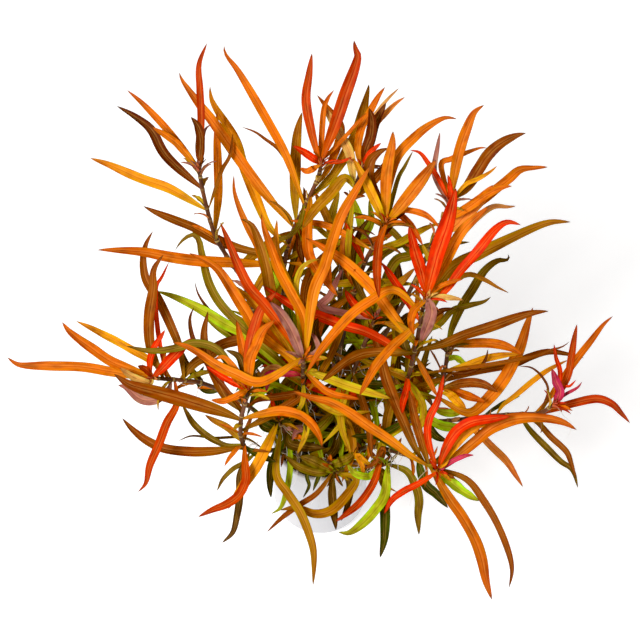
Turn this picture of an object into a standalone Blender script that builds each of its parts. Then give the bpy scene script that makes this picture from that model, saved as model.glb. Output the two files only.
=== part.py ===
"""Potted ludwigia brevipes: a bunch of leafy stems standing in a small round cup.

Metres, +Z up. The origin is the middle of the cup's flat underside.
Leaves and stems are placed by points seen from one fixed viewpoint in front of
and above the plant, each with a depth in millimetres towards that viewpoint.
"""
import math

import bmesh
import bpy
import numpy as np

MM = 0.001

# Viewpoint that the places of stems and leaves are given from
VIEW_ELEVATION = math.radians(60.0)
VIEW_TARGET = np.array([0.0, 0.0, 0.143])
VIEW_DISTANCE = 0.600
VIEW_FOCUS = 1752.0
VIEW_CENTRE = 320.0
MM_PER_PIXEL = VIEW_DISTANCE / VIEW_FOCUS / MM
VIEW_RIGHT = np.array([1.0, 0.0, 0.0])
VIEW_UP = np.array([0.0, math.sin(VIEW_ELEVATION), math.cos(VIEW_ELEVATION)])
VIEW_BACK = np.array([0.0, -math.cos(VIEW_ELEVATION), math.sin(VIEW_ELEVATION)])

# Cup
CUP_BASE_RADIUS = 0.0190
CUP_MOUTH_RADIUS = 0.0182
CUP_HEIGHT = 0.052
CUP_WALL = 0.0016
CUP_FLOOR = 0.0030
CUP_CORNER = 0.0035
CUP_LIP = 0.0008
CUP_SIDES = 28

# Mineral wool plug that the stems are rooted in
WOOL_GAP = 0.0004
WOOL_TOP = 0.038
WOOL_EDGE = 0.0025
WOOL_SIDES = 24

# Stems: round bars that stand in holes in the wool, each ending in a small bud
STEM_RADIUS_ROOT = 0.00105
STEM_RADIUS_TIP = 0.00080
STEM_SIDES = 6
STEM_STEP = 0.022
STEM_SHORTEST = 0.0025
STEM_TURN = math.radians(11.0)
ROOT_DEPTH = 0.012
ROOT_COLLAR = (0.0015, 0.0045)
ACROSS_ALL_STEMS = (0.31, 0.95, 0.05)
HOLE_GAP = 0.0006
HOLE_ABOVE = 0.004
BUD_RADIUS = 0.0013
BUD_CLEARANCE = 0.0004
BUD_PROFILE = ((0.75, 0.60), (0.30, 1.00), (0.0, 0.90), (-0.80, 0.35))
STEM_LAST_STEP = 0.002

# Leaves: their share of the full width at the base, where they are widest, how
# sharply they taper, and how they spread round the stem
LEAF_THICKNESS = 0.00075
LEAF_BASE_WIDTH = 0.42
LEAF_WIDEST_AT = 0.5
LEAF_TAPER = 2.2
LEAF_SECTION_STEP = 0.014
LEAF_MOST_SECTIONS = 4
LEAF_SECTION_CROWDING = 1.15
LEAF_THINNEST = 0.45
LEAF_KEEL_BELOW = 0.7
LEAF_BASE_SPREAD = 0.0005
LEAF_LIFT_BEND = 1.2
LEAF_LEVELLING = 0.70
LEAF_LEVEL_FROM = 40.0
LEAF_GAP = 0.0003
GOLDEN_TURN = math.pi * (3.0 - math.sqrt(5.0))

# Leaves inside the bunch: where the first one stands below the growing tip, the
# step to the next, their length and width, all in millimetres, and how far along
# each one it bends
FILL_FIRST = 14.0
FILL_STEP = 14.0
FILL_LENGTH = 30.0
FILL_WIDTH = 3.6
FILL_WAY = 0.55

# How length, bend in radians, width and lift swing from leaf to leaf: by how much,
# how fast, and how far the swing is shifted from shoot to shoot
FILL_SWINGS = ((6.0, 2.1, 1.0), (0.30, 1.7, 1.0), (0.6, 1.0, 1.0), (4.0, 1.3, 2.0))
FILL_TURN = 1.3
FILL_MOST = 12
FILL_TRIES = 12
FILL_TRY_STEP = 3

# The least room from a leaf's first FILL_FOOT to other stems, from all of it to
# other shoots, and from it to the cup's underside; the core the leaves stay in, as
# its middle and its half width and half height in the view
FILL_APART = 0.0034
FILL_FOOT = 0.013
FILL_ROOM = 0.0029
FILL_LOWEST = 0.050
FILL_CHECKS = 200
FILL_CORE = ((338.0, 335.0), (115.0, 150.0))
FILL_COLOURS = (("green", "olive", "umber", "lime", "brown"),
                ("brown", "olive", "ochre", "umber", "orange"),
                ("orange", "brown", "ochre", "amber"))

# Leaves that cross are moved apart by these clearances; a leaf is fixed up to
# LEAF_HELD from its base and quite free to move from LEAF_FREE on
LEAF_CLEARANCE = 0.0021
STEM_CLEARANCE = 0.0024
LEAF_HELD = 0.0015
LEAF_FREE = 0.0090
EDGE_MARGIN = 0.6
LEAST_MOBILITY = 0.05
RELAX_ROUNDS = 160
RELAX_GAIN = 0.7

# Points along a stem, a leaf and each stretch of curve between given points
STEM_SAMPLES = 60
CROWN_SAMPLES = 4
LEAF_SAMPLES = 26
CLEAR_SAMPLES = 120
CURVE_STEPS = 24


def seen(across, down, depth):
    """Point in space seen at (across, down), depth millimetres towards the viewer."""
    towards = np.asarray(depth, float) * MM
    scale = (VIEW_DISTANCE - towards) / VIEW_FOCUS
    right = (np.asarray(across, float) - VIEW_CENTRE) * scale
    up = (VIEW_CENTRE - np.asarray(down, float)) * scale
    return (VIEW_TARGET + right[..., None] * VIEW_RIGHT + up[..., None] * VIEW_UP
            + towards[..., None] * VIEW_BACK)


def looked_at(point):
    """(across, down, depth) of a point in space: the inverse of seen."""
    offset = np.asarray(point) - VIEW_TARGET
    depth = offset @ VIEW_BACK
    scale = VIEW_FOCUS / (VIEW_DISTANCE - depth)
    return (VIEW_CENTRE + (offset @ VIEW_RIGHT) * scale,
            VIEW_CENTRE - (offset @ VIEW_UP) * scale, depth / MM)


# Each shoot: where its root stands in the cup, as an angle in degrees counted
# anticlockwise from the right and a distance from the middle in millimetres, and
# then the points of its stem up to the growing tip.
STEMS = {
    "a": (150, 12.0, [(262, 335, -55), (243, 282, -45), (226, 255, -38), (214, 233, -33),
                      (203, 192, -26), (199, 168, -22)]),
    "b": (105, 12.5, [(300, 350, -58), (284, 300, -48), (286, 253, -37), (294, 229, -31),
                      (304, 208, -26), (318, 178, -21), (321, 163, -18)]),
    "c": (75, 6.5, [(338, 360, -50), (352, 300, -32), (367, 258, -20), (380, 238, -12), (386, 222, -6)]),
    "d": (45, 12.0, [(365, 370, -50), (405, 300, -32), (432, 245, -20), (450, 202, -10)]),
    "e": (5, 11.0, [(396, 423, -55), (445, 421, -51), (490, 416, -43), (520, 414, -37),
                    (540, 413, -33), (554, 404, -28)]),
    "f": (330, 11.5, [(368, 447, -59), (400, 453, -38), (422, 462, -22), (438, 470, -12)]),
    "g": (185, 12.5, [(270, 425, -64), (240, 400, -52), (205, 384, -42), (180, 380, -36),
                      (165, 379, -32), (152, 378, -28)]),
    "h": (210, 12.5, [(283, 450, -64), (256, 452, -50), (243, 444, -38), (241, 420, -24), (249, 390, -10)]),
    "j": (235, 12.5, [(296, 446, -62), (284, 430, -52), (279, 420, -46)]),
    "k": (20, 12.0, [(378, 372, -53), (402, 392, -38), (408, 378, -28), (413, 358, -18),
                     (418, 335, -8), (422, 312, 0), (427, 298, 6)]),
    "m": (125, 6.5, [(305, 400, -48), (303, 375, -24), (304, 358, -8)]),
    "q": (350, 11.5, [(384, 429, -56), (425, 415, -46), (440, 392, -38), (445, 370, -32), (448, 348, -27)]),
    "r": (270, 12.5, [(328, 462, -60), (334, 472, -52)]),
    "s": (300, 11.5, [(350, 462, -59), (372, 466, -52), (388, 464, -44)]),
    "n": (340, 5.5, [(345, 395, -54), (362, 350, -38), (375, 318, -26)]),
    "t": (75, 12.5, [(338, 330, -52), (341, 270, -40), (347, 220, -28), (354, 192, -20), (362, 168, -14)]),
}


def leaf(kind, colour, width, lift, *points):
    """One leaf: fused to the crown (c) or the stem (s), or a solid of its own (o).

    width is in millimetres, and lift says how many millimetres the tip is nearer
    to the viewer than the base. The points run from the tip to the base.
    """
    return kind, colour, width, lift, points


LEAVES = {
    "a": [
        leaf("c", "ember", 2.9, 2, (207, 43), (199, 65), (200, 90), (201, 125), (200, 165)),
        leaf("c", "maroon", 3.8, 9, (191, 117), (198, 127), (201, 140), (199, 160)),
        leaf("c", "orange", 2.8, 0, (127, 90), (145, 106), (171, 134), (196, 167)),
        leaf("c", "orange", 3.0, 6, (152, 127), (176, 143), (193, 160)),
        leaf("o", "maroon", 3.9, 5, (117, 106), (138, 119), (152, 131), (167, 157), (200, 188)),
        leaf("o", "amber", 3.9, 0, (90, 158), (112, 166), (139, 178), (170, 189), (203, 209)),
        leaf("c", "mauve", 1.5, 3, (211, 124), (204, 133), (201, 150)),
        leaf("s", "brown", 1.6, -4, (233, 133), (230, 155), (222, 170), (215, 190), (209, 210)),
        leaf("o", "orange", 3.5, -5, (217, 112), (217, 140), (218, 173), (218, 200), (218, 236)),
    ],
    "b": [
        leaf("c", "ember", 3.6, 4, (312, 53), (309, 75), (306, 100), (311, 130), (321, 160)),
        leaf("c", "ember", 4.8, 8, (354, 40), (355, 48), (357, 60), (345, 95), (335, 125), (325, 158)),
        leaf("c", "red", 3.0, 6, (293, 146), (305, 153), (320, 162)),
        leaf("c", "orange", 1.7, 5, (366, 113), (358, 122), (345, 137), (330, 154)),
        leaf("c", "red", 1.5, 3, (352, 157), (340, 162), (325, 165)),
        leaf("c", "orange", 2.6, -3, (300, 168), (308, 171), (317, 176)),
        leaf("c", "orange", 2.4, -2, (334, 90), (327, 100), (323, 115), (325, 140)),
        leaf("o", "ochre", 4.6, 0, (369, 84), (367, 95), (358, 130), (346, 155), (332, 177),
             (314, 195)),
        leaf("o", "orange", 4.4, 4, (179, 72), (182, 80), (199, 104), (214, 123), (248, 171),
             (268, 197), (290, 225)),
        leaf("o", "amber", 4.3, -6, (210, 86), (213, 103), (235, 140), (243, 165), (258, 203),
             (270, 228), (286, 248)),
        leaf("o", "orange", 3.5, -3, (224, 45), (226, 55), (240, 74), (271, 127), (288, 160),
             (304, 206)),
        leaf("o", "ochre", 4.4, -2, (302, 112), (298, 130), (296, 150), (295, 190), (296, 220)),
        leaf("s", "brown", 1.5, -2, (242, 127), (255, 132), (265, 139), (280, 151), (294, 175), (304, 206)),
        leaf("o", "brown", 4.4, 12, (143, 206), (155, 212), (174, 220), (194, 228), (214, 239),
             (240, 249), (284, 256)),
        leaf("o", "orange", 4.4, 17, (97, 250), (110, 250), (143, 252), (170, 257), (200, 261),
             (240, 263), (284, 268)),
        leaf("s", "orange", 3.2, -5, (317, 95), (325, 105), (333, 115), (341, 130), (330, 165), (316, 182)),
        leaf("s", "maroon", 2.9, -2, (304, 266), (300, 250), (299, 236), (300, 222)),
    ],
    "c": [
        leaf("c", "brown", 4.4, -3, (388, 148), (378, 153), (370, 163), (370, 180), (384, 214)),
        leaf("c", "orange", 4.4, 4, (393, 131), (392, 145), (388, 165), (386, 185), (387, 216)),
        leaf("c", "olive", 1.7, -2, (413, 151), (405, 166), (397, 182), (390, 205)),
        leaf("c", "orange", 3.7, 1, (457, 119), (445, 118), (430, 125), (415, 137), (397, 157),
             (387, 190), (387, 214)),
        leaf("c", "orange", 4.9, 9, (436, 160), (425, 175), (412, 192), (400, 207), (388, 218)),
        leaf("c", "amber", 3.8, 3, (353, 158), (362, 175), (372, 195), (386, 217)),
        leaf("c", "orange", 2.6, 2, (440, 228), (427, 216), (412, 211), (400, 211), (388, 219)),
        leaf("c", "ember", 3.5, 5, (379, 298), (377, 275), (378, 250), (381, 236), (385, 224)),
        leaf("s", "maroon", 4.4, 5, (406, 212), (398, 215), (391, 220), (384, 230)),
        leaf("s", "red", 2.3, 8, (345, 222), (352, 238), (362, 257), (368, 268)),
        leaf("s", "lime", 3.8, -4, (369, 200), (371, 222), (362, 240), (358, 262), (353, 300)),
        leaf("s", "olive", 3.2, -6, (421, 245), (405, 244), (388, 250), (376, 262), (364, 268)),
        leaf("s", "gold", 3.0, -2, (440, 223), (427, 228), (413, 235), (399, 243), (384, 248),
             (374, 262)),
        leaf("s", "rust", 2.6, 3, (423, 246), (416, 233), (408, 222), (396, 216), (388, 222)),
    ],
    "d": [
        leaf("c", "mauve", 2.1, 2, (440, 132), (437, 150), (434, 170), (438, 185), (449, 200)),
        leaf("c", "orange", 4.1, 8, (484, 105), (474, 113), (467, 128), (461, 145), (456, 165),
             (451, 195)),
        leaf("c", "orange", 2.2, -2, (487, 148), (480, 148), (466, 153), (451, 159), (441, 166),
             (448, 195)),
        leaf("c", "brown", 4.5, 0, (526, 133), (515, 136), (500, 144), (488, 155), (478, 170),
             (466, 188), (453, 200)),
        leaf("c", "amber", 1.7, 4, (497, 166), (490, 172), (478, 179), (465, 185), (453, 196)),
        leaf("s", "orange", 3.9, 0, (548, 167), (535, 168), (520, 170), (508, 180), (485, 198),
             (466, 212), (447, 214)),
        leaf("c", "red", 1.9, 4, (410, 150), (420, 153), (428, 163), (438, 178), (447, 198)),
        leaf("c", "red", 2.0, 7, (448, 175), (450, 187), (450, 200)),
        leaf("s", "orange", 3.5, 5, (512, 186), (501, 188), (486, 195), (467, 208), (445, 222)),
        leaf("s", "salmon", 4.9, 9, (493, 185), (481, 199), (467, 213), (455, 226), (441, 238)),
        leaf("s", "peach", 2.9, 1, (516, 206), (508, 207), (493, 207), (476, 219), (455, 240), (434, 248)),
    ],
    "k": [
        leaf("c", "red", 5.9, 12, (456, 188), (448, 222), (437, 255), (429, 292)),
        leaf("c", "orange", 4.1, 9, (489, 206), (463, 230), (447, 258), (431, 290)),
        leaf("c", "red", 4.4, 9, (409, 226), (415, 251), (421, 271), (427, 292)),
        leaf("o", "ochre", 4.5, -3, (571, 222), (553, 222), (536, 227), (508, 240), (478, 255),
             (450, 270), (428, 290)),
        leaf("c", "red", 3.8, 6, (521, 225), (508, 222), (496, 229), (480, 248), (460, 272), (440, 296),
             (429, 303)),
        leaf("c", "orange", 2.0, 5, (463, 279), (448, 283), (436, 289), (429, 296)),
        leaf("s", "ochre", 2.0, -4, (509, 293), (497, 287), (483, 279), (466, 275), (440, 290), (425, 303)),
        leaf("s", "olive", 2.5, -6, (491, 297), (483, 302), (467, 306), (452, 311), (438, 326),
             (419, 333)),
        leaf("s", "maroon", 2.2, -2, (454, 308), (441, 311), (431, 318), (420, 325)),
        leaf("c", "mauve", 4.6, 9, (421, 341), (427, 326), (431, 312), (428, 298)),
        leaf("c", "orange", 2.9, 7, (414, 335), (411, 324), (414, 310), (425, 300)),
        leaf("o", "brown", 4.1, 3, (549, 311), (532, 313), (515, 318), (490, 327), (465, 335),
             (440, 345), (415, 352)),
        leaf("s", "orange", 3.8, 8, (306, 374), (320, 351), (335, 332), (352, 314), (372, 300),
             (395, 290), (423, 303)),
        leaf("o", "orange", 4.6, 9, (306, 238), (322, 247), (345, 262), (372, 288), (390, 312),
             (404, 330), (416, 345)),
        leaf("s", "red", 3.3, 8, (381, 262), (390, 275), (400, 290), (410, 306), (420, 322)),
        leaf("o", "red", 4.4, 9, (262, 285), (280, 298), (300, 310), (320, 317), (345, 326), (365, 332),
             (388, 344),
             (411, 360)),
        leaf("s", "umber", 4.4, 4, (421, 313), (407, 318), (401, 331), (404, 346), (412, 360)),
        leaf("s", "brown", 3.5, -14, (584, 358), (566, 354), (548, 352), (530, 357), (512, 364),
             (470, 372), (404, 390)),
        leaf("s", "brown", 1.7, -9, (570, 341), (562, 347), (550, 350), (535, 356), (480, 366), (410, 374)),
        leaf("s", "red", 2.9, 6, (402, 414), (403, 402), (407, 388), (408, 376)),
        leaf("s", "orange", 2.6, 3, (410, 416), (415, 404), (411, 390), (406, 382)),
        leaf("c", "peach", 2.2, 3, (463, 300), (452, 298), (441, 297), (430, 298)),
    ],
    "e": [
        leaf("c", "ember", 2.9, 6, (577, 324), (574, 340), (571, 359), (567, 378), (560, 398)),
        leaf("c", "red", 2.0, 3, (554, 344), (556, 358), (560, 375), (559, 396)),
        leaf("c", "magenta", 3.6, 8, (552, 369), (556, 382), (560, 392), (556, 403)),
        leaf("c", "magenta", 1.3, 6, (582, 382), (577, 388), (566, 394), (556, 402)),
        leaf("c", "red", 1.2, 7, (576, 380), (570, 386), (564, 388), (557, 398)),
        leaf("o", "ember", 3.6, 0, (630, 423), (621, 413), (612, 404), (597, 399), (575, 403),
             (550, 410), (537, 413)),
        leaf("o", "orange", 2.9, -5, (613, 316), (603, 325), (590, 342), (575, 361), (560, 382),
             (547, 401), (537, 413)),
        leaf("s", "amber", 2.3, -3, (568, 360), (550, 369), (534, 380), (516, 395), (503, 405),
             (492, 415)),
        leaf("s", "maroon", 1.0, 2, (519, 366), (532, 368), (543, 378), (548, 392), (546, 406)),
        leaf("s", "olive", 2.6, -4, (578, 488), (572, 470), (560, 461), (545, 446), (530, 430), (516, 414)),
        leaf("s", "brown", 2.5, 2, (576, 479), (571, 463), (566, 451), (551, 437), (538, 423),
             (524, 414)),
        leaf("s", "salmon", 3.2, 4, (523, 487), (516, 476), (506, 461), (491, 446), (479, 434),
             (462, 419)),
        leaf("s", "green", 1.7, -9, (520, 396), (505, 402), (497, 407), (480, 415)),
    ],
    "q": [
        leaf("c", "olive", 3.5, 2, (508, 254), (508, 260), (497, 261), (484, 271), (471, 291),
             (461, 307), (452, 328), (448, 346)),
        leaf("c", "orange", 3.8, 9, (523, 355), (505, 346), (485, 343), (465, 344), (448, 349)),
        leaf("s", "amber", 3.0, 4, (520, 354), (505, 355), (488, 358), (470, 364), (446, 369)),
        leaf("s", "maroon", 1.6, 7, (488, 349), (486, 358), (480, 367), (466, 373), (445, 372)),
        leaf("o", "orange", 5.0, 8, (533, 307), (527, 325), (521, 345), (514, 361), (503, 381),
             (487, 400), (468, 413), (437, 400)),
        leaf("s", "brown", 3.8, 5, (498, 392), (482, 384), (465, 383), (445, 388)),
        leaf("s", "orange", 3.6, 3, (486, 402), (470, 397), (456, 392), (441, 391)),
        leaf("s", "amber", 3.5, 5, (466, 409), (457, 401), (449, 394), (440, 392)),
        leaf("s", "lime", 3.8, -3, (467, 426), (452, 427), (438, 424), (426, 414)),
        leaf("s", "green", 3.5, -5, (447, 441), (436, 436), (426, 424), (418, 416)),
        leaf("s", "umber", 2.9, -6, (398, 362), (412, 368), (427, 372), (443, 376)),
        leaf("s", "lime", 2.6, -5, (470, 368), (455, 358), (448, 352)),
        leaf("s", "lime", 3.4, -3, (462, 413), (451, 413), (440, 411), (431, 406)),
    ],
    "f": [
        leaf("c", "red", 2.9, 7, (444, 374), (438, 400), (429, 420), (428, 440), (438, 466)),
        leaf("c", "red", 4.2, 5, (511, 416), (490, 419), (472, 422), (457, 431), (446, 448), (440, 466)),
        leaf("c", "orange", 4.8, 6, (577, 430), (562, 422), (540, 418), (515, 419), (492, 428),
             (475, 442), (455, 458),
             (441, 468)),
        leaf("c", "amber", 3.2, 3, (487, 424), (472, 430), (458, 442), (445, 460)),
        leaf("c", "magenta", 1.9, 4, (474, 455), (465, 456), (453, 461), (441, 468)),
        leaf("c", "red", 2.8, 6, (384, 514), (392, 500), (403, 492), (416, 485), (428, 478), (438, 471)),
        leaf("o", "orange", 4.8, 2, (492, 600), (486, 581), (482, 561), (475, 540), (463, 518),
             (448, 497), (435, 475)),
        leaf("o", "brown", 2.9, 0, (509, 588), (512, 570), (508, 550), (498, 525), (484, 501),
             (466, 479), (438, 467)),
        leaf("s", "lime", 4.2, -4, (479, 501), (462, 491), (447, 479), (432, 469)),
        leaf("s", "green", 3.8, -4, (448, 508), (436, 494), (425, 483), (412, 467)),
        leaf("o", "orange", 3.9, 4, (292, 391), (310, 397), (330, 402), (350, 413), (370, 427),
             (390, 440), (410, 455),
             (429, 468)),
        leaf("o", "brown", 4.4, 3, (368, 320), (379, 350), (386, 378), (395, 402), (405, 425),
             (415, 448), (424, 466)),
        leaf("s", "umber", 2.9, -6, (466, 434), (450, 450), (436, 462), (424, 468)),
        leaf("s", "brown", 3.4, 0, (409, 390), (414, 415), (421, 440), (431, 466)),
    ],
    "g": [
        leaf("c", "orange", 4.1, -2, (7, 357), (20, 365), (51, 366), (82, 367), (112, 372), (148, 378)),
        leaf("c", "orange", 4.2, 6, (62, 322), (71, 333), (91, 348), (114, 363), (150, 377)),
        leaf("s", "amber", 3.2, -6, (76, 321), (93, 329), (115, 340), (134, 351), (158, 366),
             (168, 377)),
        leaf("c", "red", 2.8, 10, (165, 330), (156, 345), (150, 360), (151, 377)),
        leaf("c", "ember", 2.8, 9, (138, 366), (146, 370), (153, 378)),
        leaf("c", "red", 4.1, 5, (192, 338), (183, 347), (172, 358), (157, 377)),
        leaf("c", "peach", 2.9, 8, (120, 368), (133, 377), (150, 383), (158, 379)),
        leaf("o", "brown", 3.7, 5, (153, 231), (146, 244), (143, 260), (146, 280), (158, 299),
             (170, 324), (180, 350), (184, 378)),
        leaf("o", "brown", 4.2, 9, (163, 255), (154, 270), (153, 290), (149, 320), (151, 350),
             (162, 378)),
        leaf("s", "red", 2.0, -3, (169, 262), (162, 277), (156, 290), (158, 330), (166, 376)),
        leaf("s", "brown", 4.8, -4, (264, 337), (240, 340), (222, 345), (209, 355), (194, 364),
             (178, 378)),
        leaf("s", "ember", 3.6, 4, (138, 492), (146, 483), (150, 465), (159, 444), (167, 423),
             (177, 403), (176, 381)),
        leaf("s", "amber", 1.9, 5, (174, 390), (186, 384), (203, 380)),
        leaf("s", "mauve", 3.8, -3, (118, 385), (127, 388), (140, 399), (155, 400), (168, 390), (172, 381)),
        leaf("s", "olive", 2.2, 2, (213, 371), (198, 374), (186, 377)),
        leaf("s", "umber", 2.9, -6, (180, 346), (184, 360), (192, 372), (205, 383)),
        leaf("s", "green", 2.6, -6, (204, 366), (198, 378), (205, 390), (222, 393)),
    ],
    "h": [
        leaf("c", "orange", 4.4, 9, (275, 320), (263, 331), (256, 346), (250, 362), (249, 386)),
        leaf("c", "orange", 3.0, 4, (211, 400), (224, 401), (237, 396), (249, 387)),
        leaf("c", "red", 2.6, 1, (206, 366), (216, 373), (229, 381), (249, 388)),
        leaf("c", "ember", 4.5, 4, (277, 291), (262, 308), (254, 330), (249, 352), (247, 386)),
        leaf("c", "orange", 2.3, 3, (213, 360), (223, 357), (232, 365), (246, 385)),
        leaf("c", "umber", 2.9, -3, (226, 350), (238, 356), (243, 368), (247, 386)),
        leaf("s", "brown", 3.6, -3, (208, 311), (204, 334), (207, 356), (215, 377), (225, 397),
             (241, 412)),
        leaf("o", "brown", 5.5, 4, (114, 374), (131, 385), (163, 394), (194, 403), (222, 412), (241, 420)),
        leaf("s", "maroon", 2.2, -6, (194, 307), (190, 318), (191, 331), (196, 345), (215, 375),
             (240, 408)),
        leaf("s", "olive", 2.9, -4, (182, 404), (187, 413), (193, 423), (203, 433), (215, 441),
             (228, 446), (243, 445)),
        leaf("o", "brown", 4.1, 3, (122, 418), (133, 430), (147, 441), (165, 449), (190, 452),
             (215, 451), (243, 446)),
        leaf("s", "umber", 1.2, 1, (178, 441), (192, 436), (215, 438), (245, 438), (266, 449)),
        leaf("s", "ember", 3.6, 1, (198, 517), (212, 510), (227, 504), (239, 495), (246, 480),
             (245, 462), (244, 444)),
        leaf("s", "umber", 3.2, -5, (222, 543), (233, 532), (237, 515), (240, 496), (240, 475),
             (250, 450)),
        leaf("s", "olive", 2.0, -4, (217, 491), (223, 479), (233, 469), (245, 462), (258, 451)),
        leaf("s", "orange", 4.1, 12, (322, 447), (319, 436), (311, 424), (299, 415), (281, 411),
             (262, 414), (241, 418)),
        leaf("s", "brown", 3.5, -4, (246, 408), (258, 400), (275, 397), (300, 396), (262, 420), (243, 432)),
        leaf("s", "green", 2.9, -4, (276, 462), (262, 456), (250, 450), (246, 446)),
        leaf("s", "ochre", 2.9, -3, (205, 415), (215, 421), (228, 428), (243, 440)),
        leaf("s", "olive", 3.2, -6, (126, 346), (151, 351), (176, 348), (197, 343), (222, 354),
             (247, 388)),
    ],
    "m": [
        leaf("c", "mauve", 4.4, 7, (270, 302), (281, 314), (291, 330), (303, 352)),
        leaf("c", "orange", 4.1, -2, (172, 342), (185, 346), (200, 354), (215, 364), (235, 374),
             (262, 382), (300, 388)),
        leaf("c", "orange", 3.9, 5, (261, 213), (264, 228), (271, 248), (279, 270), (291, 293),
             (304, 320), (306, 352)),
        leaf("c", "amber", 3.5, 1, (277, 219), (276, 240), (279, 262), (288, 283), (300, 315), (305, 350)),
        leaf("c", "orange", 4.5, 9, (371, 165), (354, 193), (341, 216), (332, 242), (324, 268),
             (313, 295), (305, 354)),
        leaf("c", "ember", 3.9, 3, (220, 222), (229, 243), (238, 265), (249, 287), (264, 304),
             (282, 327), (302, 355)),
        leaf("s", "ochre", 4.4, -4, (240, 219), (251, 224), (259, 242), (266, 266), (272, 297),
             (290, 340), (303, 366)),
        leaf("s", "orange", 3.2, -7, (234, 174), (234, 190), (239, 207), (248, 228), (258, 248),
             (266, 275), (276, 310), (303, 374)),
        leaf("s", "olive", 3.5, -8, (175, 250), (185, 238), (197, 236), (202, 255), (209, 283),
             (223, 307), (252, 335),
             (303, 380)),
        leaf("s", "amber", 2.9, -3, (226, 283), (239, 290), (252, 302), (276, 330), (303, 370)),
        leaf("s", "orange", 4.6, 1, (189, 253), (206, 261), (218, 270), (231, 289), (245, 311),
             (262, 336), (302, 366)),
        leaf("s", "lime", 4.4, -10, (156, 291), (175, 297), (200, 309), (225, 324), (250, 338), (304, 385)),
        leaf("s", "maroon", 1.7, -8, (195, 281), (197, 291), (203, 302), (214, 315), (240, 340),
             (303, 388)),
        leaf("c", "umber", 4.4, -6, (318, 318), (314, 330), (316, 345), (305, 356)),
        leaf("c", "mauve", 2.0, -1, (309, 331), (315, 338), (318, 350), (305, 357)),
        leaf("s", "red", 3.5, 9, (259, 368), (272, 363), (286, 362), (296, 371), (308, 384), (330, 392),
             (360, 394),
             (304, 400)),
        leaf("s", "peach", 2.3, 5, (259, 378), (265, 370), (276, 367), (286, 373), (304, 378)),
        leaf("s", "magenta", 2.9, 8, (266, 392), (268, 382), (270, 374), (303, 376)),
        leaf("s", "lime", 2.5, 2, (258, 384), (275, 385), (292, 392), (304, 392)),
        leaf("c", "gold", 2.6, 4, (320, 259), (309, 262), (300, 271), (296, 290), (300, 315),
             (304, 352)),
        leaf("s", "lime", 3.6, -9, (203, 315), (218, 328), (240, 342), (270, 362), (303, 388)),
    ],
    "n": [
        leaf("c", "red", 3.5, 4, (345, 290), (352, 302), (362, 312), (374, 318)),
        leaf("c", "umber", 3.0, 5, (372, 215), (360, 232), (352, 262), (360, 290), (374, 316)),
        leaf("c", "mauve", 3.2, 5, (343, 268), (336, 282), (330, 296), (323, 308), (372, 322)),
        leaf("c", "ochre", 3.5, 0, (415, 268), (405, 278), (394, 289), (376, 316)),
        leaf("s", "olive", 3.8, -2, (322, 310), (340, 302), (352, 290), (356, 276), (366, 340)),
        leaf("s", "green", 3.5, -5, (396, 272), (392, 292), (384, 318), (366, 342)),
        leaf("s", "olive", 3.8, -3, (470, 242), (450, 244), (428, 247), (410, 256), (392, 266),
             (372, 330)),
    ],
    "t": [
        leaf("c", "orange", 3.3, -4, (385, 87), (378, 97), (370, 112), (361, 130), (358, 150), (361, 166)),
        leaf("c", "maroon", 3.8, 4, (386, 103), (379, 116), (373, 130), (369, 148), (362, 166)),
        leaf("c", "peach", 1.9, -1, (399, 88), (388, 99), (379, 110), (370, 126), (362, 166)),
        leaf("c", "salmon", 2.5, 1, (405, 97), (395, 104), (386, 113), (376, 124), (368, 142),
             (362, 166)),
        leaf("c", "maroon", 4.1, 9, (369, 108), (372, 120), (371, 135), (366, 150), (361, 166)),
        leaf("c", "red", 2.2, 6, (381, 143), (374, 149), (368, 156), (362, 167)),
        leaf("s", "peach", 3.8, 0, (322, 104), (333, 122), (342, 138), (350, 155), (356, 188)),
        leaf("s", "ochre", 4.6, 2, (303, 228), (315, 210), (330, 194), (345, 178), (357, 184)),
        leaf("s", "brown", 3.5, -4, (394, 150), (385, 166), (372, 182), (352, 198)),
    ],
    "j": [
        leaf("c", "amber", 4.5, 6, (228, 509), (239, 492), (254, 470), (266, 448), (279, 421)),
        leaf("s", "green", 3.6, -5, (271, 498), (270, 482), (272, 466), (278, 450), (284, 434)),
        leaf("s", "lime", 2.5, -2, (271, 514), (281, 507), (287, 489), (290, 470), (290, 452),
             (286, 434)),
        leaf("s", "ochre", 3.6, 2, (313, 586), (314, 566), (313, 548), (307, 528), (299, 510),
             (287, 492), (276, 472), (281, 428)),
        leaf("c", "green", 2.9, 2, (276, 368), (277, 390), (278, 419)),
        leaf("c", "olive", 2.3, 1, (296, 378), (288, 398), (280, 419)),
        leaf("c", "red", 1.7, 3, (271, 392), (273, 405), (278, 419)),
        leaf("s", "umber", 4.1, 0, (325, 448), (308, 447), (290, 444), (284, 432)),
        leaf("s", "mauve", 2.6, 1, (292, 441), (296, 432), (305, 428), (284, 428)),
        leaf("s", "green", 3.5, -4, (258, 420), (266, 428), (280, 432)),
    ],
    "r": [
        leaf("c", "umber", 3.5, 1, (336, 530), (334, 514), (332, 494), (333, 474)),
        leaf("c", "brown", 2.3, 5, (267, 532), (283, 517), (299, 505), (317, 493), (334, 476)),
        leaf("c", "ochre", 3.9, 7, (280, 510), (297, 508), (315, 514), (332, 510), (347, 495),
             (356, 478), (336, 473)),
        leaf("c", "olive", 3.2, 2, (284, 455), (299, 467), (318, 473), (333, 473)),
        leaf("c", "green", 1.9, -3, (313, 491), (317, 481), (322, 470), (333, 472)),
        leaf("s", "green", 1.6, -5, (303, 498), (309, 486), (308, 474), (329, 464)),
        leaf("s", "umber", 2.9, -5, (341, 521), (347, 507), (350, 491), (347, 477), (331, 467)),
        leaf("c", "olive", 4.9, -1, (300, 456), (316, 463), (334, 472)),
        leaf("s", "olive", 4.4, -2, (356, 452), (345, 460), (330, 465)),
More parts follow.
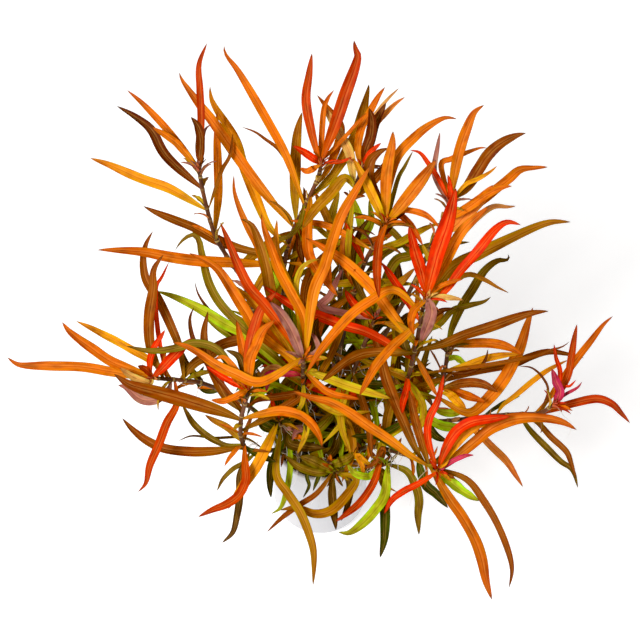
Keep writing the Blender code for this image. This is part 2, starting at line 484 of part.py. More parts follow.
    ],
    "s": [
        leaf("s", "ember", 3.2, 6, (335, 522), (349, 512), (362, 500), (374, 481), (381, 460),
             (387, 463)),
        leaf("c", "lime", 4.2, 4, (338, 532), (349, 533), (361, 525), (375, 510), (385, 494),
             (388, 465)),
        leaf("c", "green", 4.1, 0, (380, 558), (384, 540), (385, 520), (385, 500), (388, 466)),
        leaf("c", "olive", 3.6, 2, (419, 535), (418, 516), (419, 500), (415, 485), (406, 471), (389, 463)),
        leaf("s", "lime", 3.0, 2, (347, 464), (356, 474), (370, 476), (376, 466)),
        leaf("s", "amber", 2.2, 0, (364, 478), (362, 465), (357, 455), (374, 465)),
        leaf("s", "brown", 2.2, 3, (364, 469), (375, 462), (383, 448), (387, 462)),
        leaf("s", "peach", 1.3, 1, (397, 492), (388, 487), (380, 479), (372, 466)),
        leaf("s", "olive", 4.6, -3, (384, 490), (383, 478), (378, 466)),
    ],
}


def smooth_path(points, count):
    """count points at even steps along a smooth curve through the given points."""
    points = np.array(points, float)
    ends = np.vstack([2 * points[0] - points[1], points, 2 * points[-1] - points[-2]])
    p0, p1, p2, p3 = ends[:-3, None], ends[1:-2, None], ends[2:-1, None], ends[3:, None]
    t = np.linspace(0.0, 1.0, CURVE_STEPS, endpoint=False)[None, :, None]
    curve = 0.5 * (2 * p1 + (p2 - p0) * t + (2 * p0 - 5 * p1 + 4 * p2 - p3) * t ** 2
                   + (3 * p1 - p0 - 3 * p2 + p3) * t ** 3)
    curve = np.vstack([curve.reshape(-1, points.shape[1]), points[-1:]])
    steps = np.linalg.norm(np.diff(curve, axis=0), axis=1)
    along = np.concatenate([[0.0], np.cumsum(steps)])
    wanted = np.linspace(0.0, along[-1], count)
    return np.stack([np.interp(wanted, along, column) for column in curve.T], axis=1)


def stem_path(angle, distance, points):
    """The stem's middle line, from its root in the wool to its growing tip."""
    turn = math.radians(angle)
    foot = np.array([math.cos(turn), math.sin(turn), 0.0]) * distance * MM
    bottom = foot + [0.0, 0.0, WOOL_TOP - ROOT_DEPTH]
    roots = [foot + [0.0, 0.0, WOOL_TOP + height] for height in ROOT_COLLAR]
    places = np.array(points, float)
    path = smooth_path(roots + list(seen(places[:, 0], places[:, 1], places[:, 2])), STEM_SAMPLES)
    return np.vstack([bottom, path])


def leaf_width_at(fraction):
    """Share of the full width at a fraction of the way from base to tip."""
    opening = np.sin(0.5 * np.pi * np.clip(fraction / LEAF_WIDEST_AT, 0.0, 1.0))
    rise = LEAF_BASE_WIDTH + (1.0 - LEAF_BASE_WIDTH) * opening
    fall = 1.0 - np.clip((fraction - LEAF_WIDEST_AT) / (1.0 - LEAF_WIDEST_AT), 0.0, 1.0) ** LEAF_TAPER
    return rise * fall


def spread(number):
    """A small shift of a leaf's base, different for each leaf on a stem."""
    turn = number * GOLDEN_TURN
    reach = LEAF_BASE_SPREAD / MM
    pixels = reach / MM_PER_PIXEL
    return np.array([pixels * math.cos(turn), pixels * math.sin(turn), reach * math.cos(2.3 * turn)])


class Blade:
    """One leaf's middle line in the view, from its base to its tip."""

    def __init__(self, shoot, number, row, stem_seen):
        kind, self.colour, self.width, lift, points = row
        self.shoot = shoot
        self.kind = kind
        self.name = f"leaf_{shoot}{number}"
        end = np.array(points[-1], float)
        below_tip = stem_seen[:-CROWN_SAMPLES]
        nearest = np.argmin(np.hypot(below_tip[:, 0] - end[0], below_tip[:, 1] - end[1]))
        if kind == "c":
            nearest = len(stem_seen) - 1
        self.node = nearest
        foot = stem_seen[nearest] + spread(number)
        route = [foot[:2]] + [np.array(point, float) for point in points[-2::-1]]
        line = smooth_path(route, LEAF_SAMPLES)
        self.fraction = np.linspace(0.0, 1.0, LEAF_SAMPLES)
        below_crown = np.hypot(*(stem_seen[-1, :2] - foot[:2])) * MM_PER_PIXEL
        level = LEAF_LEVELLING * min(1.0, below_crown / LEAF_LEVEL_FROM)
        drop = (line[:, 1] - foot[1]) * MM_PER_PIXEL / math.tan(VIEW_ELEVATION)
        self.depth = (foot[2] + lift * self.fraction ** LEAF_LIFT_BEND
                      + np.where(drop > 0.0, LEAF_LEVELLING * drop, level * drop))
        self.across = line[:, 0]
        self.down = line[:, 1]
        steps = np.hypot(np.diff(self.across), np.diff(self.down))
        self.length = np.sum(steps) * VIEW_DISTANCE / VIEW_FOCUS
        reach = np.clip((self.fraction * self.length - LEAF_HELD) / (LEAF_FREE - LEAF_HELD), 0.0, 1.0)
        self.mobility = reach * reach * (3.0 - 2.0 * reach)
        self.half_width = 0.5 * self.width * leaf_width_at(self.fraction)


def inner_leaves(shoot, first, stem_paths, stems_seen):
    """Leaves inside the bunch: one every FILL_STEP down a stem, each turned from the last.

    A leaf that would reach out of the bunch's core, or touch another stem or the cup
    near its base, is turned on until it is clear, or left out.
    """
    stem_seen = stems_seen[shoot]
    middle, half_size = np.array(FILL_CORE[0]), np.array(FILL_CORE[1])
    offset = FILL_TURN * (ord(shoot) - ord("a"))
    walked = np.linalg.norm(np.diff(stem_paths[shoot], axis=0), axis=1) / MM
    below_tip = np.concatenate([np.cumsum(walked[::-1])[::-1], [0.0]])
    others = np.vstack([smooth_path(path[1:], FILL_CHECKS)
                        for name, path in stem_paths.items() if name != shoot])
    grown = []
    for number in range(FILL_MOST):
        place = int(np.argmin(np.abs(below_tip - FILL_FIRST - number * FILL_STEP)))
        if stem_paths[shoot][place, 2] < FILL_LOWEST:
            break
        foot = stem_seen[place, :2]
        longer, bend, wider, lift = [size * math.sin(rate * number + phase * offset)
                                     for size, rate, phase in FILL_SWINGS]
        length = (FILL_LENGTH + longer) / MM_PER_PIXEL
        colours = FILL_COLOURS[place * len(FILL_COLOURS) // STEM_SAMPLES]
        for attempt in range(FILL_TRIES):
            turn = offset + GOLDEN_TURN * (number + FILL_TRY_STEP * attempt)
            tip = foot + length * np.array([math.cos(turn), math.sin(turn)])
            way = foot + FILL_WAY * length * np.array([math.cos(turn + bend), math.sin(turn + bend)])
            row = leaf("s", colours[number % len(colours)], FILL_WIDTH + wider, lift,
                       tuple(tip), tuple(way), tuple(foot))
            blade = Blade(shoot, first + len(grown), row, stem_seen)
            line = seen(blade.across, blade.down, blade.depth)
            near = line[blade.fraction * blade.length < FILL_FOOT]
            apart = np.min(np.linalg.norm(near[:, None] - others[None], axis=2))
            from_middle = np.stack([blade.across, blade.down], axis=1) - middle
            inside = np.linalg.norm(from_middle / half_size, axis=1).max() < 1.0
            if inside and apart > FILL_APART and line[:, 2].min() > FILL_LOWEST:
                grown.append(blade)
                break
    return grown


def part_leaves(blades, stems_seen):
    """Move leaves that cross apart, towards or away from the viewer.

    Where two leaves, or a leaf and a stem, would touch, the one in front comes
    nearer and the one behind goes back, until they are clear of each other. Leaf
    bases stay on their stems, and a leaf's place in the view doesn't change.
    """
    places = np.vstack([np.stack([blade.across, blade.down, blade.depth], axis=1) for blade in blades]
                       + stems_seen)
    across, down, start = places.T
    mobility = np.concatenate([blade.mobility for blade in blades]
                              + [np.zeros(len(stem)) for stem in stems_seen])
    half = np.concatenate([blade.half_width for blade in blades]
                          + [np.full(len(stem), STEM_RADIUS_ROOT / MM) for stem in stems_seen])
    sizes = [LEAF_SAMPLES] * len(blades) + [len(stem) for stem in stems_seen]
    owner = np.repeat(np.arange(len(sizes)), sizes)
    first, second = [], []
    for index in range(len(across)):
        others = np.arange(index + 1, len(across))
        reach = (half[index] + half[others] + EDGE_MARGIN) / MM_PER_PIXEL
        close = np.hypot(across[others] - across[index], down[others] - down[index]) < reach
        close &= (owner[others] != owner[index]) & (mobility[others] + mobility[index] > LEAST_MOBILITY)
        first.append(np.full(close.sum(), index))
        second.append(others[close])
    first = np.concatenate(first)
    second = np.concatenate(second)
    pair = owner[first] * len(sizes) + owner[second]
    _, which = np.unique(pair, return_inverse=True)
    lead = np.bincount(which, start[first] - start[second]) / np.bincount(which)
    order = np.where(lead >= 0.0, 1.0, -1.0)[which]
    stem_pair = owner[second] >= len(blades)
    wanted = np.where(stem_pair, STEM_CLEARANCE, LEAF_CLEARANCE) / MM
    share = mobility[first] + mobility[second]
    depth = start.copy()
    for _ in range(RELAX_ROUNDS):
        short = np.clip(wanted - order * (depth[first] - depth[second]), 0.0, None)
        forward = np.zeros(len(depth))
        backward = np.zeros(len(depth))
        part_first = short * mobility[first] / share
        part_second = short * mobility[second] / share
        np.maximum.at(forward, first, np.where(order > 0, part_first, 0.0))
        np.maximum.at(backward, first, np.where(order < 0, part_first, 0.0))
        np.maximum.at(forward, second, np.where(order < 0, part_second, 0.0))
        np.maximum.at(backward, second, np.where(order > 0, part_second, 0.0))
        moved = depth - start + RELAX_GAIN * (forward - backward)
        leaves = moved[:len(blades) * LEAF_SAMPLES].reshape(len(blades), LEAF_SAMPLES)
        padded = np.pad(leaves, ((0, 0), (1, 1)), mode="edge")
        leaves = 0.25 * padded[:, :-2] + 0.5 * leaves + 0.25 * padded[:, 2:]
        moved[:leaves.size] = leaves.ravel()
        depth = start + moved * (mobility > 0.0)
    for index, blade in enumerate(blades):
        blade.depth = depth[index * LEAF_SAMPLES:(index + 1) * LEAF_SAMPLES]


def room_round(blade, blades, stem_paths):
    """Smallest distance from a leaf's middle line to the other shoots, in metres."""
    line = seen(blade.across, blade.down, blade.depth)
    others = [seen(other.across, other.down, other.depth)
              for other in blades if other.shoot != blade.shoot]
    others += [smooth_path(path[1:], FILL_CHECKS)
               for shoot, path in stem_paths.items() if shoot != blade.shoot]
    return np.min(np.linalg.norm(line[:, None] - np.vstack(others)[None], axis=2))


def needed_points(path):
    """The points of a fine path that a coarse bar along it needs.

    A point is kept where the path has turned by STEM_TURN since the last kept
    one, or has run on for STEM_STEP.
    """
    kept = [0]
    for index in range(1, len(path) - 1):
        before = path[kept[-1] + 1] - path[kept[-1]]
        here = path[index + 1] - path[index]
        cosine = before @ here / np.linalg.norm(before) / np.linalg.norm(here)
        gone = np.linalg.norm(path[index] - path[kept[-1]])
        if gone > STEM_STEP or (gone > STEM_SHORTEST and math.acos(min(1.0, cosine)) > STEM_TURN):
            kept.append(index)
    return path[kept + [len(path) - 1]]


def frames_along(path):
    """Tangent, side and upper normal of a leaf at each point of its middle line."""
    tangent = np.gradient(path, axis=0)
    tangent /= np.linalg.norm(tangent, axis=1, keepdims=True)
    upwards = VIEW_BACK + np.array([0.0, 0.0, 1.0])
    upwards /= np.linalg.norm(upwards)
    normal = upwards - (tangent @ upwards)[:, None] * tangent
    normal /= np.linalg.norm(normal, axis=1, keepdims=True)
    side = np.cross(tangent, normal)
    return tangent, side, normal


def mesh_object(name, points, faces, colour):
    """A new object with its own material, its place in its mesh."""
    mesh = bpy.data.meshes.new(name)
    mesh.from_pydata([tuple(point) for point in points], [], faces)
    body = bmesh.new()
    body.from_mesh(mesh)
    bmesh.ops.recalc_face_normals(body, faces=body.faces)
    body.to_mesh(mesh)
    body.free()
    obj = bpy.data.objects.new(name, mesh)
    bpy.context.scene.collection.objects.link(obj)
    obj.data.materials.append(colour)
    return obj


def rings_to_faces(rings, sides):
    """Quads between neighbouring rings of points, and a cap on each end."""
    faces = [tuple(reversed(range(sides)))]
    for ring in range(rings - 1):
        for side in range(sides):
            after = (side + 1) % sides
            low, high = ring * sides, (ring + 1) * sides
            faces.append((low + side, low + after, high + after, high + side))
    faces.append(tuple(range((rings - 1) * sides, rings * sides)))
    return faces


def tube(name, path, radii, sides, colour):
    """A closed round bar along a path."""
    tangent = np.gradient(path, axis=0)
    tangent /= np.linalg.norm(tangent, axis=1, keepdims=True)
    across = np.cross(tangent, ACROSS_ALL_STEMS)
    across /= np.linalg.norm(across, axis=1, keepdims=True)
    other = np.cross(tangent, across)
    turn = 2.0 * np.pi * np.arange(sides) / sides
    ring = (across[:, None] * np.cos(turn)[None, :, None] + other[:, None] * np.sin(turn)[None, :, None])
    points = path[:, None] + ring * np.asarray(radii)[:, None, None]
    return mesh_object(name, points.reshape(-1, 3), rings_to_faces(len(path), sides), colour)


def between(rows, places, wanted):
    """Rows given at some places, worked out at the wanted places between them."""
    return np.stack([np.interp(wanted, places, column) for column in rows.T], axis=-1)


def clear_of_stem(blade, stem_line):
    """Fraction of its length from which a separate leaf is clear of its stem."""
    fine = np.linspace(0.0, 1.0, CLEAR_SAMPLES)
    middle = between(seen(blade.across, blade.down, blade.depth), blade.fraction, fine)
    places = np.linspace(0.0, 1.0, len(stem_line))
    stem = between(stem_line, places, np.linspace(0.0, 1.0, CLEAR_SAMPLES * 2))
    away = np.min(np.linalg.norm(middle[:, None] - stem[None], axis=2), axis=1)
    half = 0.5 * blade.width * MM * leaf_width_at(fine)
    touching = np.nonzero(away - half < STEM_RADIUS_ROOT + LEAF_GAP)[0]
    return fine[touching[touching < CLEAR_SAMPLES // 2][-1] + 1]


def onto_bar(blade, path, line):
    """How far a leaf's base moves to stand in the coarse bar along a stem's path."""
    bar = between(line, np.arange(len(line)), np.linspace(0.0, len(line) - 1.0, CLEAR_SAMPLES * 3))
    away = np.linalg.norm(bar - path[blade.node], axis=1)
    return bar[np.argmin(away)] - path[blade.node]


def leaf_shape(blade, start, shift):
    """Points and faces of a lanceolate leaf: flat above, with a keel below.

    Its first section is moved by shift.
    """
    path = seen(blade.across, blade.down, blade.depth)
    _, side, normal = frames_along(path)
    count = int(np.clip(round(blade.length / LEAF_SECTION_STEP) + 1, 3, LEAF_MOST_SECTIONS))
    stations = start + (1.0 - start) * (1.0 - (1.0 - np.arange(count) / count) ** LEAF_SECTION_CROWDING)
    half = 0.5 * blade.width * MM * leaf_width_at(stations)
    middle = between(path, blade.fraction, stations)
    middle[0] += shift
    sideways = between(side, blade.fraction, stations)
    above = between(normal, blade.fraction, stations)
    thickness = LEAF_THICKNESS * (LEAF_THINNEST + (1.0 - LEAF_THINNEST) * leaf_width_at(stations))
    upper = middle + above * (1.0 - LEAF_KEEL_BELOW) * thickness[:, None]
    left = upper - sideways * half[:, None]
    right = upper + sideways * half[:, None]
    below = middle - above * LEAF_KEEL_BELOW * thickness[:, None]
    points = np.stack([left, right, below], axis=1).reshape(-1, 3)
    points = np.vstack([points, path[-1:]])
    rings = len(stations)
    faces = [(2, 1, 0)]
    for ring in range(rings - 1):
        for corner in range(3):
            after = (corner + 1) % 3
            low, high = ring * 3, (ring + 1) * 3
            faces.append((low + corner, low + after, high + after, high + corner))
    last = (rings - 1) * 3
    faces += [(last + corner, last + (corner + 1) % 3, len(points) - 1) for corner in range(3)]
    return points, faces


def fuse(target, shapes, colour):
    """Join leaves to what they grow from, one after another.

    So many thin leaves meet in one bud that the exact solver leaves holes there.
    """
    for number, (points, faces) in enumerate(shapes, 1):
        tool = mesh_object(f"{target.name}_leaf_{number}", points, faces, colour)
        boolean(target, tool, "UNION").solver = "MANIFOLD"


def material(name, colour, roughness):
    """A Principled material of one colour."""
    made = bpy.data.materials.new(name)
    made.use_nodes = True
    shader = made.node_tree.nodes["Principled BSDF"]
    shader.inputs["Base Color"].default_value = (*colour, 1.0)
    shader.inputs["Roughness"].default_value = roughness
    shader.inputs["Metallic"].default_value = 0.0
    return made


def boolean(target, tool, operation):
    """Join a tool to the target, or cut it from the target."""
    step = target.modifiers.new(f"{operation.lower()}_{tool.name}", "BOOLEAN")
    step.operation = operation
    step.solver = "EXACT"
    step.object = tool
    tool.hide_render = True
    tool.display_type = "WIRE"
    return step


def turned(name, profile, sides, colour):
    """A solid turned about Z from a profile that starts and ends on the axis."""
    turn = 2.0 * np.pi * np.arange(sides) / sides
    inner = np.array(profile[1:-1])
    ring = np.stack([np.cos(turn), np.sin(turn)], axis=1)
    points = [(radius * x, radius * y, height) for radius, height in inner for x, y in ring]
    first, last = len(points), len(points) + 1
    points += [(0.0, 0.0, profile[0][1]), (0.0, 0.0, profile[-1][1])]
    faces = []
    for side in range(sides):
        after = (side + 1) % sides
        faces.append((first, after, side))
        for row in range(len(inner) - 1):
            low, high = row * sides, (row + 1) * sides
            faces.append((low + side, low + after, high + after, high + side))
        top = (len(inner) - 1) * sides
        faces.append((top + side, top + after, last))
    made = mesh_object(name, points, faces, colour)
    made.data.shade_smooth()
    made.data.set_sharp_from_angle(angle=math.radians(35.0))
    return made


def arc(centre, radius, start, end, steps):
    """Profile points on an arc, angles in degrees from outwards, counted upwards."""
    turns = np.radians(np.linspace(start, end, steps))
    return [(centre[0] + radius * math.cos(turn), centre[1] + radius * math.sin(turn)) for turn in turns]


def make_cup(colour):
    """A nearly straight cup with a flat underside, a rounded foot and lip."""
    outer_foot = arc((CUP_BASE_RADIUS - CUP_CORNER, CUP_CORNER), CUP_CORNER, -90.0, 0.0, 4)
    lip = arc((CUP_MOUTH_RADIUS - CUP_LIP, CUP_HEIGHT - CUP_LIP), CUP_LIP, 0.0, 180.0, 4)
    inner_radius = CUP_BASE_RADIUS - CUP_WALL
    inner_foot = arc((inner_radius - CUP_CORNER, CUP_FLOOR + CUP_CORNER), CUP_CORNER, 0.0, -90.0, 3)
    profile = [(0.0, 0.0)] + outer_foot + lip + inner_foot + [(0.0, CUP_FLOOR)]
    return turned("cup", profile, CUP_SIDES, colour)


def make_wool(stem_paths, colour):
    """The plug of mineral wool, with one hole for each stem's root."""
    reach = CUP_BASE_RADIUS - CUP_WALL - CUP_CORNER
    wall = CUP_MOUTH_RADIUS - CUP_WALL - WOOL_GAP
    bottom = CUP_FLOOR + WOOL_GAP
    side = [(reach, bottom), (wall, bottom + CUP_CORNER), (wall, WOOL_TOP - WOOL_EDGE)]
    shoulder = [(wall - WOOL_EDGE * 0.4, WOOL_TOP - WOOL_EDGE * 0.3), (wall - WOOL_EDGE, WOOL_TOP)]
    profile = [(0.0, bottom)] + side + shoulder + [(0.0, WOOL_TOP)]
    plug = turned("wool_plug", profile, WOOL_SIDES, colour)
    for shoot, path in stem_paths.items():
        foot = path[0]
        ends = np.array([foot - [0.0, 0.0, HOLE_GAP], [foot[0], foot[1], WOOL_TOP + HOLE_ABOVE]])
        radius = STEM_RADIUS_ROOT + HOLE_GAP
        boolean(plug, tube(f"hole_{shoot}", ends, [radius, radius], STEM_SIDES, colour), "DIFFERENCE")
    return plug


for old in list(bpy.data.objects):
    bpy.data.objects.remove(old)

CUP_GREY = material("cup_plastic", (0.82, 0.83, 0.85), 0.35)
WOOL_GREY = material("mineral_wool", (0.34, 0.30, 0.22), 0.95)
STEM_BROWN = material("stem", (0.16, 0.05, 0.02), 0.45)
LEAF_COLOURS = {
    "maroon": (0.10, 0.015, 0.008), "ember": (0.55, 0.05, 0.01), "red": (0.80, 0.06, 0.01),
    "orange": (0.85, 0.22, 0.01), "amber": (0.85, 0.42, 0.04), "salmon": (0.85, 0.28, 0.12),
    "peach": (0.85, 0.50, 0.20), "ochre": (0.45, 0.22, 0.01), "brown": (0.25, 0.07, 0.01),
    "umber": (0.08, 0.03, 0.005), "olive": (0.22, 0.17, 0.01), "green": (0.08, 0.14, 0.01),
    "lime": (0.45, 0.50, 0.02), "mauve": (0.50, 0.20, 0.28), "magenta": (0.60, 0.05, 0.20),
}
LEAF_MATERIALS = {name: material(f"leaf_{name}", colour, 0.4) for name, colour in LEAF_COLOURS.items()}

stem_paths = {shoot: stem_path(*row) for shoot, row in STEMS.items()}
stems_seen = {shoot: np.stack(looked_at(path), axis=1) for shoot, path in stem_paths.items()}
blades = [Blade(shoot, number, row, stems_seen[shoot])
          for shoot, rows in LEAVES.items() for number, row in enumerate(rows, 1)]
inner = [blade for shoot, rows in LEAVES.items()
         for blade in inner_leaves(shoot, len(rows) + 1, stem_paths, stems_seen)]
part_leaves(blades + inner, list(stems_seen.values()))
blades += [blade for blade in inner if room_round(blade, blades + inner, stem_paths) > FILL_ROOM]

make_cup(CUP_GREY)
make_wool(stem_paths, WOOL_GREY)

for shoot, path in stem_paths.items():
    tip = path[-1]
    line = needed_points(path)
    back = BUD_RADIUS + BUD_CLEARANCE
    keep = np.linalg.norm(line - tip, axis=1) > back + STEM_LAST_STEP
    end = tip + (path[-3] - tip) / np.linalg.norm(path[-3] - tip) * back
    line = np.vstack([line[keep], end])
    radii = np.linspace(STEM_RADIUS_ROOT, STEM_RADIUS_TIP, len(line))
    stem = tube(f"stem_{shoot}", line, radii, STEM_SIDES, STEM_BROWN)
    bud_line = np.array([tip + (end - tip) * below for below, _ in BUD_PROFILE])
    bud_radii = [BUD_RADIUS * share for _, share in BUD_PROFILE]
    crown = tube(f"crown_{shoot}", bud_line, bud_radii, STEM_SIDES, LEAF_MATERIALS["orange"])
    grown = {"c": [], "s": []}
    for blade in blades:
        if blade.shoot != shoot:
            continue
        if blade.kind == "o":
            points, faces = leaf_shape(blade, clear_of_stem(blade, path), 0.0)
            mesh_object(blade.name, points, faces, LEAF_MATERIALS[blade.colour])
        elif blade.kind == "s":
            grown["s"].append(leaf_shape(blade, 0.0, onto_bar(blade, path, line)))
        else:
            grown["c"].append(leaf_shape(blade, 0.0, 0.0))
    fuse(crown, grown["c"], LEAF_MATERIALS["orange"])
    fuse(stem, grown["s"], LEAF_MATERIALS["olive"])
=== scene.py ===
"""Ludwigia brevipes in a small round cup: the visual model on its CAD frame.

Metres, +Z up. The origin is the middle of the cup's flat underside.
"""

import math

import bpy
import numpy as np
from mathutils import Matrix


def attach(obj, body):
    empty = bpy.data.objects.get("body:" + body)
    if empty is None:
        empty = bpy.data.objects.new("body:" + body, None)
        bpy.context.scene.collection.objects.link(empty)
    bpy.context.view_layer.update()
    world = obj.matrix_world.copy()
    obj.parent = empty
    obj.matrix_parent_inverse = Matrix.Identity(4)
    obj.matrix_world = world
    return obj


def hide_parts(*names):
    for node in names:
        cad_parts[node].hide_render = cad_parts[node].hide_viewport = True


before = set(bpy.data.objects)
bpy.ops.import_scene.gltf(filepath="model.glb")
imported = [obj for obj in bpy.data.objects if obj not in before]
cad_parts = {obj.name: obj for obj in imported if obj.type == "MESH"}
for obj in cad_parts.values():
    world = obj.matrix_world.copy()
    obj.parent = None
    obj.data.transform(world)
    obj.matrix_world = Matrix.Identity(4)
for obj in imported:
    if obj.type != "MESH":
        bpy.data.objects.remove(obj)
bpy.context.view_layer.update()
MM = 0.001


# Cup: one smooth pale moulding, nearly straight, with a rounded foot and lip and
# a shallow round recess underneath. It is the first section, so it also holds Value
# and Finish for materials, make_piece for meshes, and turned and arc for round forms.
class Value:
    """A number in a material's node tree, worked out by ordinary arithmetic."""

    def __init__(self, tree, socket):
        self.tree = tree
        self.socket = socket

    def math(self, operation, *others):
        """This value and the others put through one math operation."""
        node = self.tree.nodes.new("ShaderNodeMath")
        node.operation = operation
        for place, item in zip(node.inputs, (self, *others)):
            if isinstance(item, Value):
                self.tree.links.new(item.socket, place)
            else:
                place.default_value = item
        return Value(self.tree, node.outputs[0])

    def __add__(self, other):
        return self.math("ADD", other)

    def __mul__(self, other):
        return self.math("MULTIPLY", other)

    def __rsub__(self, other):
        return self * -1.0 + other

    __radd__ = __add__
    __rmul__ = __mul__

    def size(self):
        """The value without its sign."""
        return self.math("ABSOLUTE")

    def between(self, low, high):
        """0 below low, 1 above high, and a smooth rise from one to the other."""
        node = self.tree.nodes.new("ShaderNodeMapRange")
        node.interpolation_type = "SMOOTHSTEP"
        self.tree.links.new(self.socket, node.inputs["Value"])
        node.inputs["From Min"].default_value = low
        node.inputs["From Max"].default_value = high
        return Value(self.tree, node.outputs["Result"])


class Finish:
    """A procedural material around one Principled shader."""

    def __init__(self, name, constants=()):
        self.material = bpy.data.materials.new(name)
        self.material.use_nodes = True
        self.tree = self.material.node_tree
        self.shader = self.tree.nodes["Principled BSDF"]
        for words, number in dict(constants).items():
            self.shader.inputs[words].default_value = number

    def node(self, kind, output=0, settings=(), **inputs):
        """Any other node: its settings, its inputs by name, and one of its outputs."""
        node = self.tree.nodes.new(kind)
        for name, setting in dict(settings).items():
            setattr(node, name, setting)
        for words, item in inputs.items():
            place = node.inputs[words.replace("_", " ")]
            if isinstance(item, Value):
                self.tree.links.new(item.socket, place)
            else:
                place.default_value = item
        return Value(self.tree, node.outputs[output])

    def attribute(self, name, output="Fac"):
        """A value or a colour that the mesh carries at its points."""
        return self.node("ShaderNodeAttribute", output, {"attribute_name": name})

    def noise(self, place, scale, detail=2.0, roughness=0.5):
        """Soft noise from 0 to 1 around 0.5 at a place in the object."""
        return self.node("ShaderNodeTexNoise", "Fac", Vector=place, Scale=scale, Detail=detail,
                         Roughness=roughness)

    def place(self):
        """Where in the object a point is, in metres."""
        return self.node("ShaderNodeTexCoord", "Object")

    def stretched(self, place, scale):
        """A place multiplied by a factor for each axis."""
        return self.node("ShaderNodeMapping", 0, Vector=place, Scale=scale)

    def mix(self, share, first, second, blend="MIX"):
        """A colour on the way from first to second."""
        node = self.tree.nodes.new("ShaderNodeMix")
        node.data_type = "RGBA"
        node.blend_type = blend
        for place, item in ((node.inputs[0], share), (node.inputs[6], first), (node.inputs[7], second)):
            if isinstance(item, Value):
                self.tree.links.new(item.socket, place)
            else:
                place.default_value = item if place is node.inputs[0] else (*item, 1.0)
        return Value(self.tree, node.outputs[2])

    def drive(self, words, item):
        """Feed one of the shader's inputs."""
        self.tree.links.new(item.socket, self.shader.inputs[words])

    def bump(self, height, distance):
        """Small relief: height from 0 to 1 times a distance in metres."""
        normal = self.node("ShaderNodeBump", 0, Height=height, Distance=distance)
        self.drive("Normal", normal)


def make_piece(name, points, faces, finish, **carried):
    """A smooth-shaded mesh object with its material and per-point attributes.

    carried holds, by name, one number or one linear colour for each point.
    """
    mesh = bpy.data.meshes.new(name)
    mesh.from_pydata(points.tolist(), [], faces.tolist() if hasattr(faces, "tolist") else faces)
    mesh.materials.append(finish.material)
    for label, data in carried.items():
        data = np.asarray(data, np.float32)
        if data.ndim == 1:
            mesh.attributes.new(label, "FLOAT", "POINT").data.foreach_set("value", data)
        else:
            full = np.concatenate([data, np.ones((len(data), 1), np.float32)], axis=1)
            mesh.attributes.new(label, "FLOAT_COLOR", "POINT").data.foreach_set("color", full.ravel())
    mesh.polygons.foreach_set("use_smooth", np.ones(len(mesh.polygons), bool))
    mesh.update()
    piece = bpy.data.objects.new(name, mesh)
    bpy.context.scene.collection.objects.link(piece)
    return piece


def turned(profile, sides):
    """Points and faces of a solid turned about Z from a profile off the axis.

    The point of turn a at radius r is (r cos a, r sin a), and both ends of the
    profile are closed by a fan to the axis.
    """
    profile = np.asarray(profile)
    turn = 2.0 * np.pi * np.arange(sides) / sides
    ring = np.stack([np.cos(turn), np.sin(turn)], axis=1)
    flat = profile[:, None, 0, None] * ring[None]
    height = np.broadcast_to(profile[:, 1, None, None], flat.shape[:2] + (1,))
    points = np.concatenate([flat, height], axis=2).reshape(-1, 3)
    rows, side = np.meshgrid(np.arange(len(profile) - 1), np.arange(sides), indexing="ij")
    after = (side + 1) % sides
    quads = np.stack([rows * sides + side, rows * sides + after, (rows + 1) * sides + after,
                      (rows + 1) * sides + side], axis=-1).reshape(-1, 4)
    ends = np.array([[0.0, 0.0, profile[0, 1]], [0.0, 0.0, profile[-1, 1]]])
    first, last, top = len(points), len(points) + 1, (len(profile) - 1) * sides
    fans = [(first, (index + 1) % sides, index) for index in range(sides)]
    fans += [(top + index, top + (index + 1) % sides, last) for index in range(sides)]
    return np.vstack([points, ends]), quads.tolist() + fans


def arc(centre, radius, start, end, steps):
    """Profile points on an arc, angles in degrees from outwards, counted upwards."""
    turns = np.radians(np.linspace(start, end, steps))
    return [(centre[0] + radius * math.cos(turn), centre[1] + radius * math.sin(turn)) for turn in turns]


CUP_BASE_RADIUS = 0.0190
CUP_MOUTH_RADIUS = 0.0182
CUP_HEIGHT = 0.052
CUP_WALL = 0.0016
CUP_FLOOR = 0.0030
CUP_CORNER = 0.0035
CUP_LIP = 0.0008
CUP_RECESS_RADIUS = 0.0120
CUP_RECESS_DEPTH = 0.0004
CUP_SIDES = 120

cup_plastic = Finish("cup_plastic", {"Coat Roughness": 0.12, "IOR": 1.49})
place = cup_plastic.place()
cloud = cup_plastic.noise(place, 60.0, 3.0)
film = cup_plastic.noise(cup_plastic.stretched(place, (260.0, 260.0, 34.0)), 1.0, 4.0, 0.6)
cup_plastic.drive("Base Color", cup_plastic.mix(cloud * 0.35 + film.between(0.5, 0.8) * 0.25,
                                                (0.60, 0.605, 0.635), (0.53, 0.535, 0.56)))
cup_plastic.drive("Roughness", 0.24 + film * 0.22)
cup_plastic.drive("Coat Weight", 0.35 - film * 0.2)
cup_plastic.bump(film, 0.00002)

foot = arc((CUP_BASE_RADIUS - CUP_CORNER, CUP_CORNER), CUP_CORNER, -90.0, 0.0, 12)
lip = arc((CUP_MOUTH_RADIUS - CUP_LIP, CUP_HEIGHT - CUP_LIP), CUP_LIP, 0.0, 180.0, 12)
inside = arc((CUP_BASE_RADIUS - CUP_WALL - CUP_CORNER, CUP_FLOOR + CUP_CORNER), CUP_CORNER, 0.0, -90.0, 8)
recess = [(CUP_RECESS_RADIUS, CUP_RECESS_DEPTH), (CUP_RECESS_RADIUS + 2 * CUP_RECESS_DEPTH, 0.0)]
points, faces = turned(recess + foot + lip + inside, CUP_SIDES)
cup = make_piece("cup_moulding", points, faces, cup_plastic)
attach(cup, "root")
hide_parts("cup")


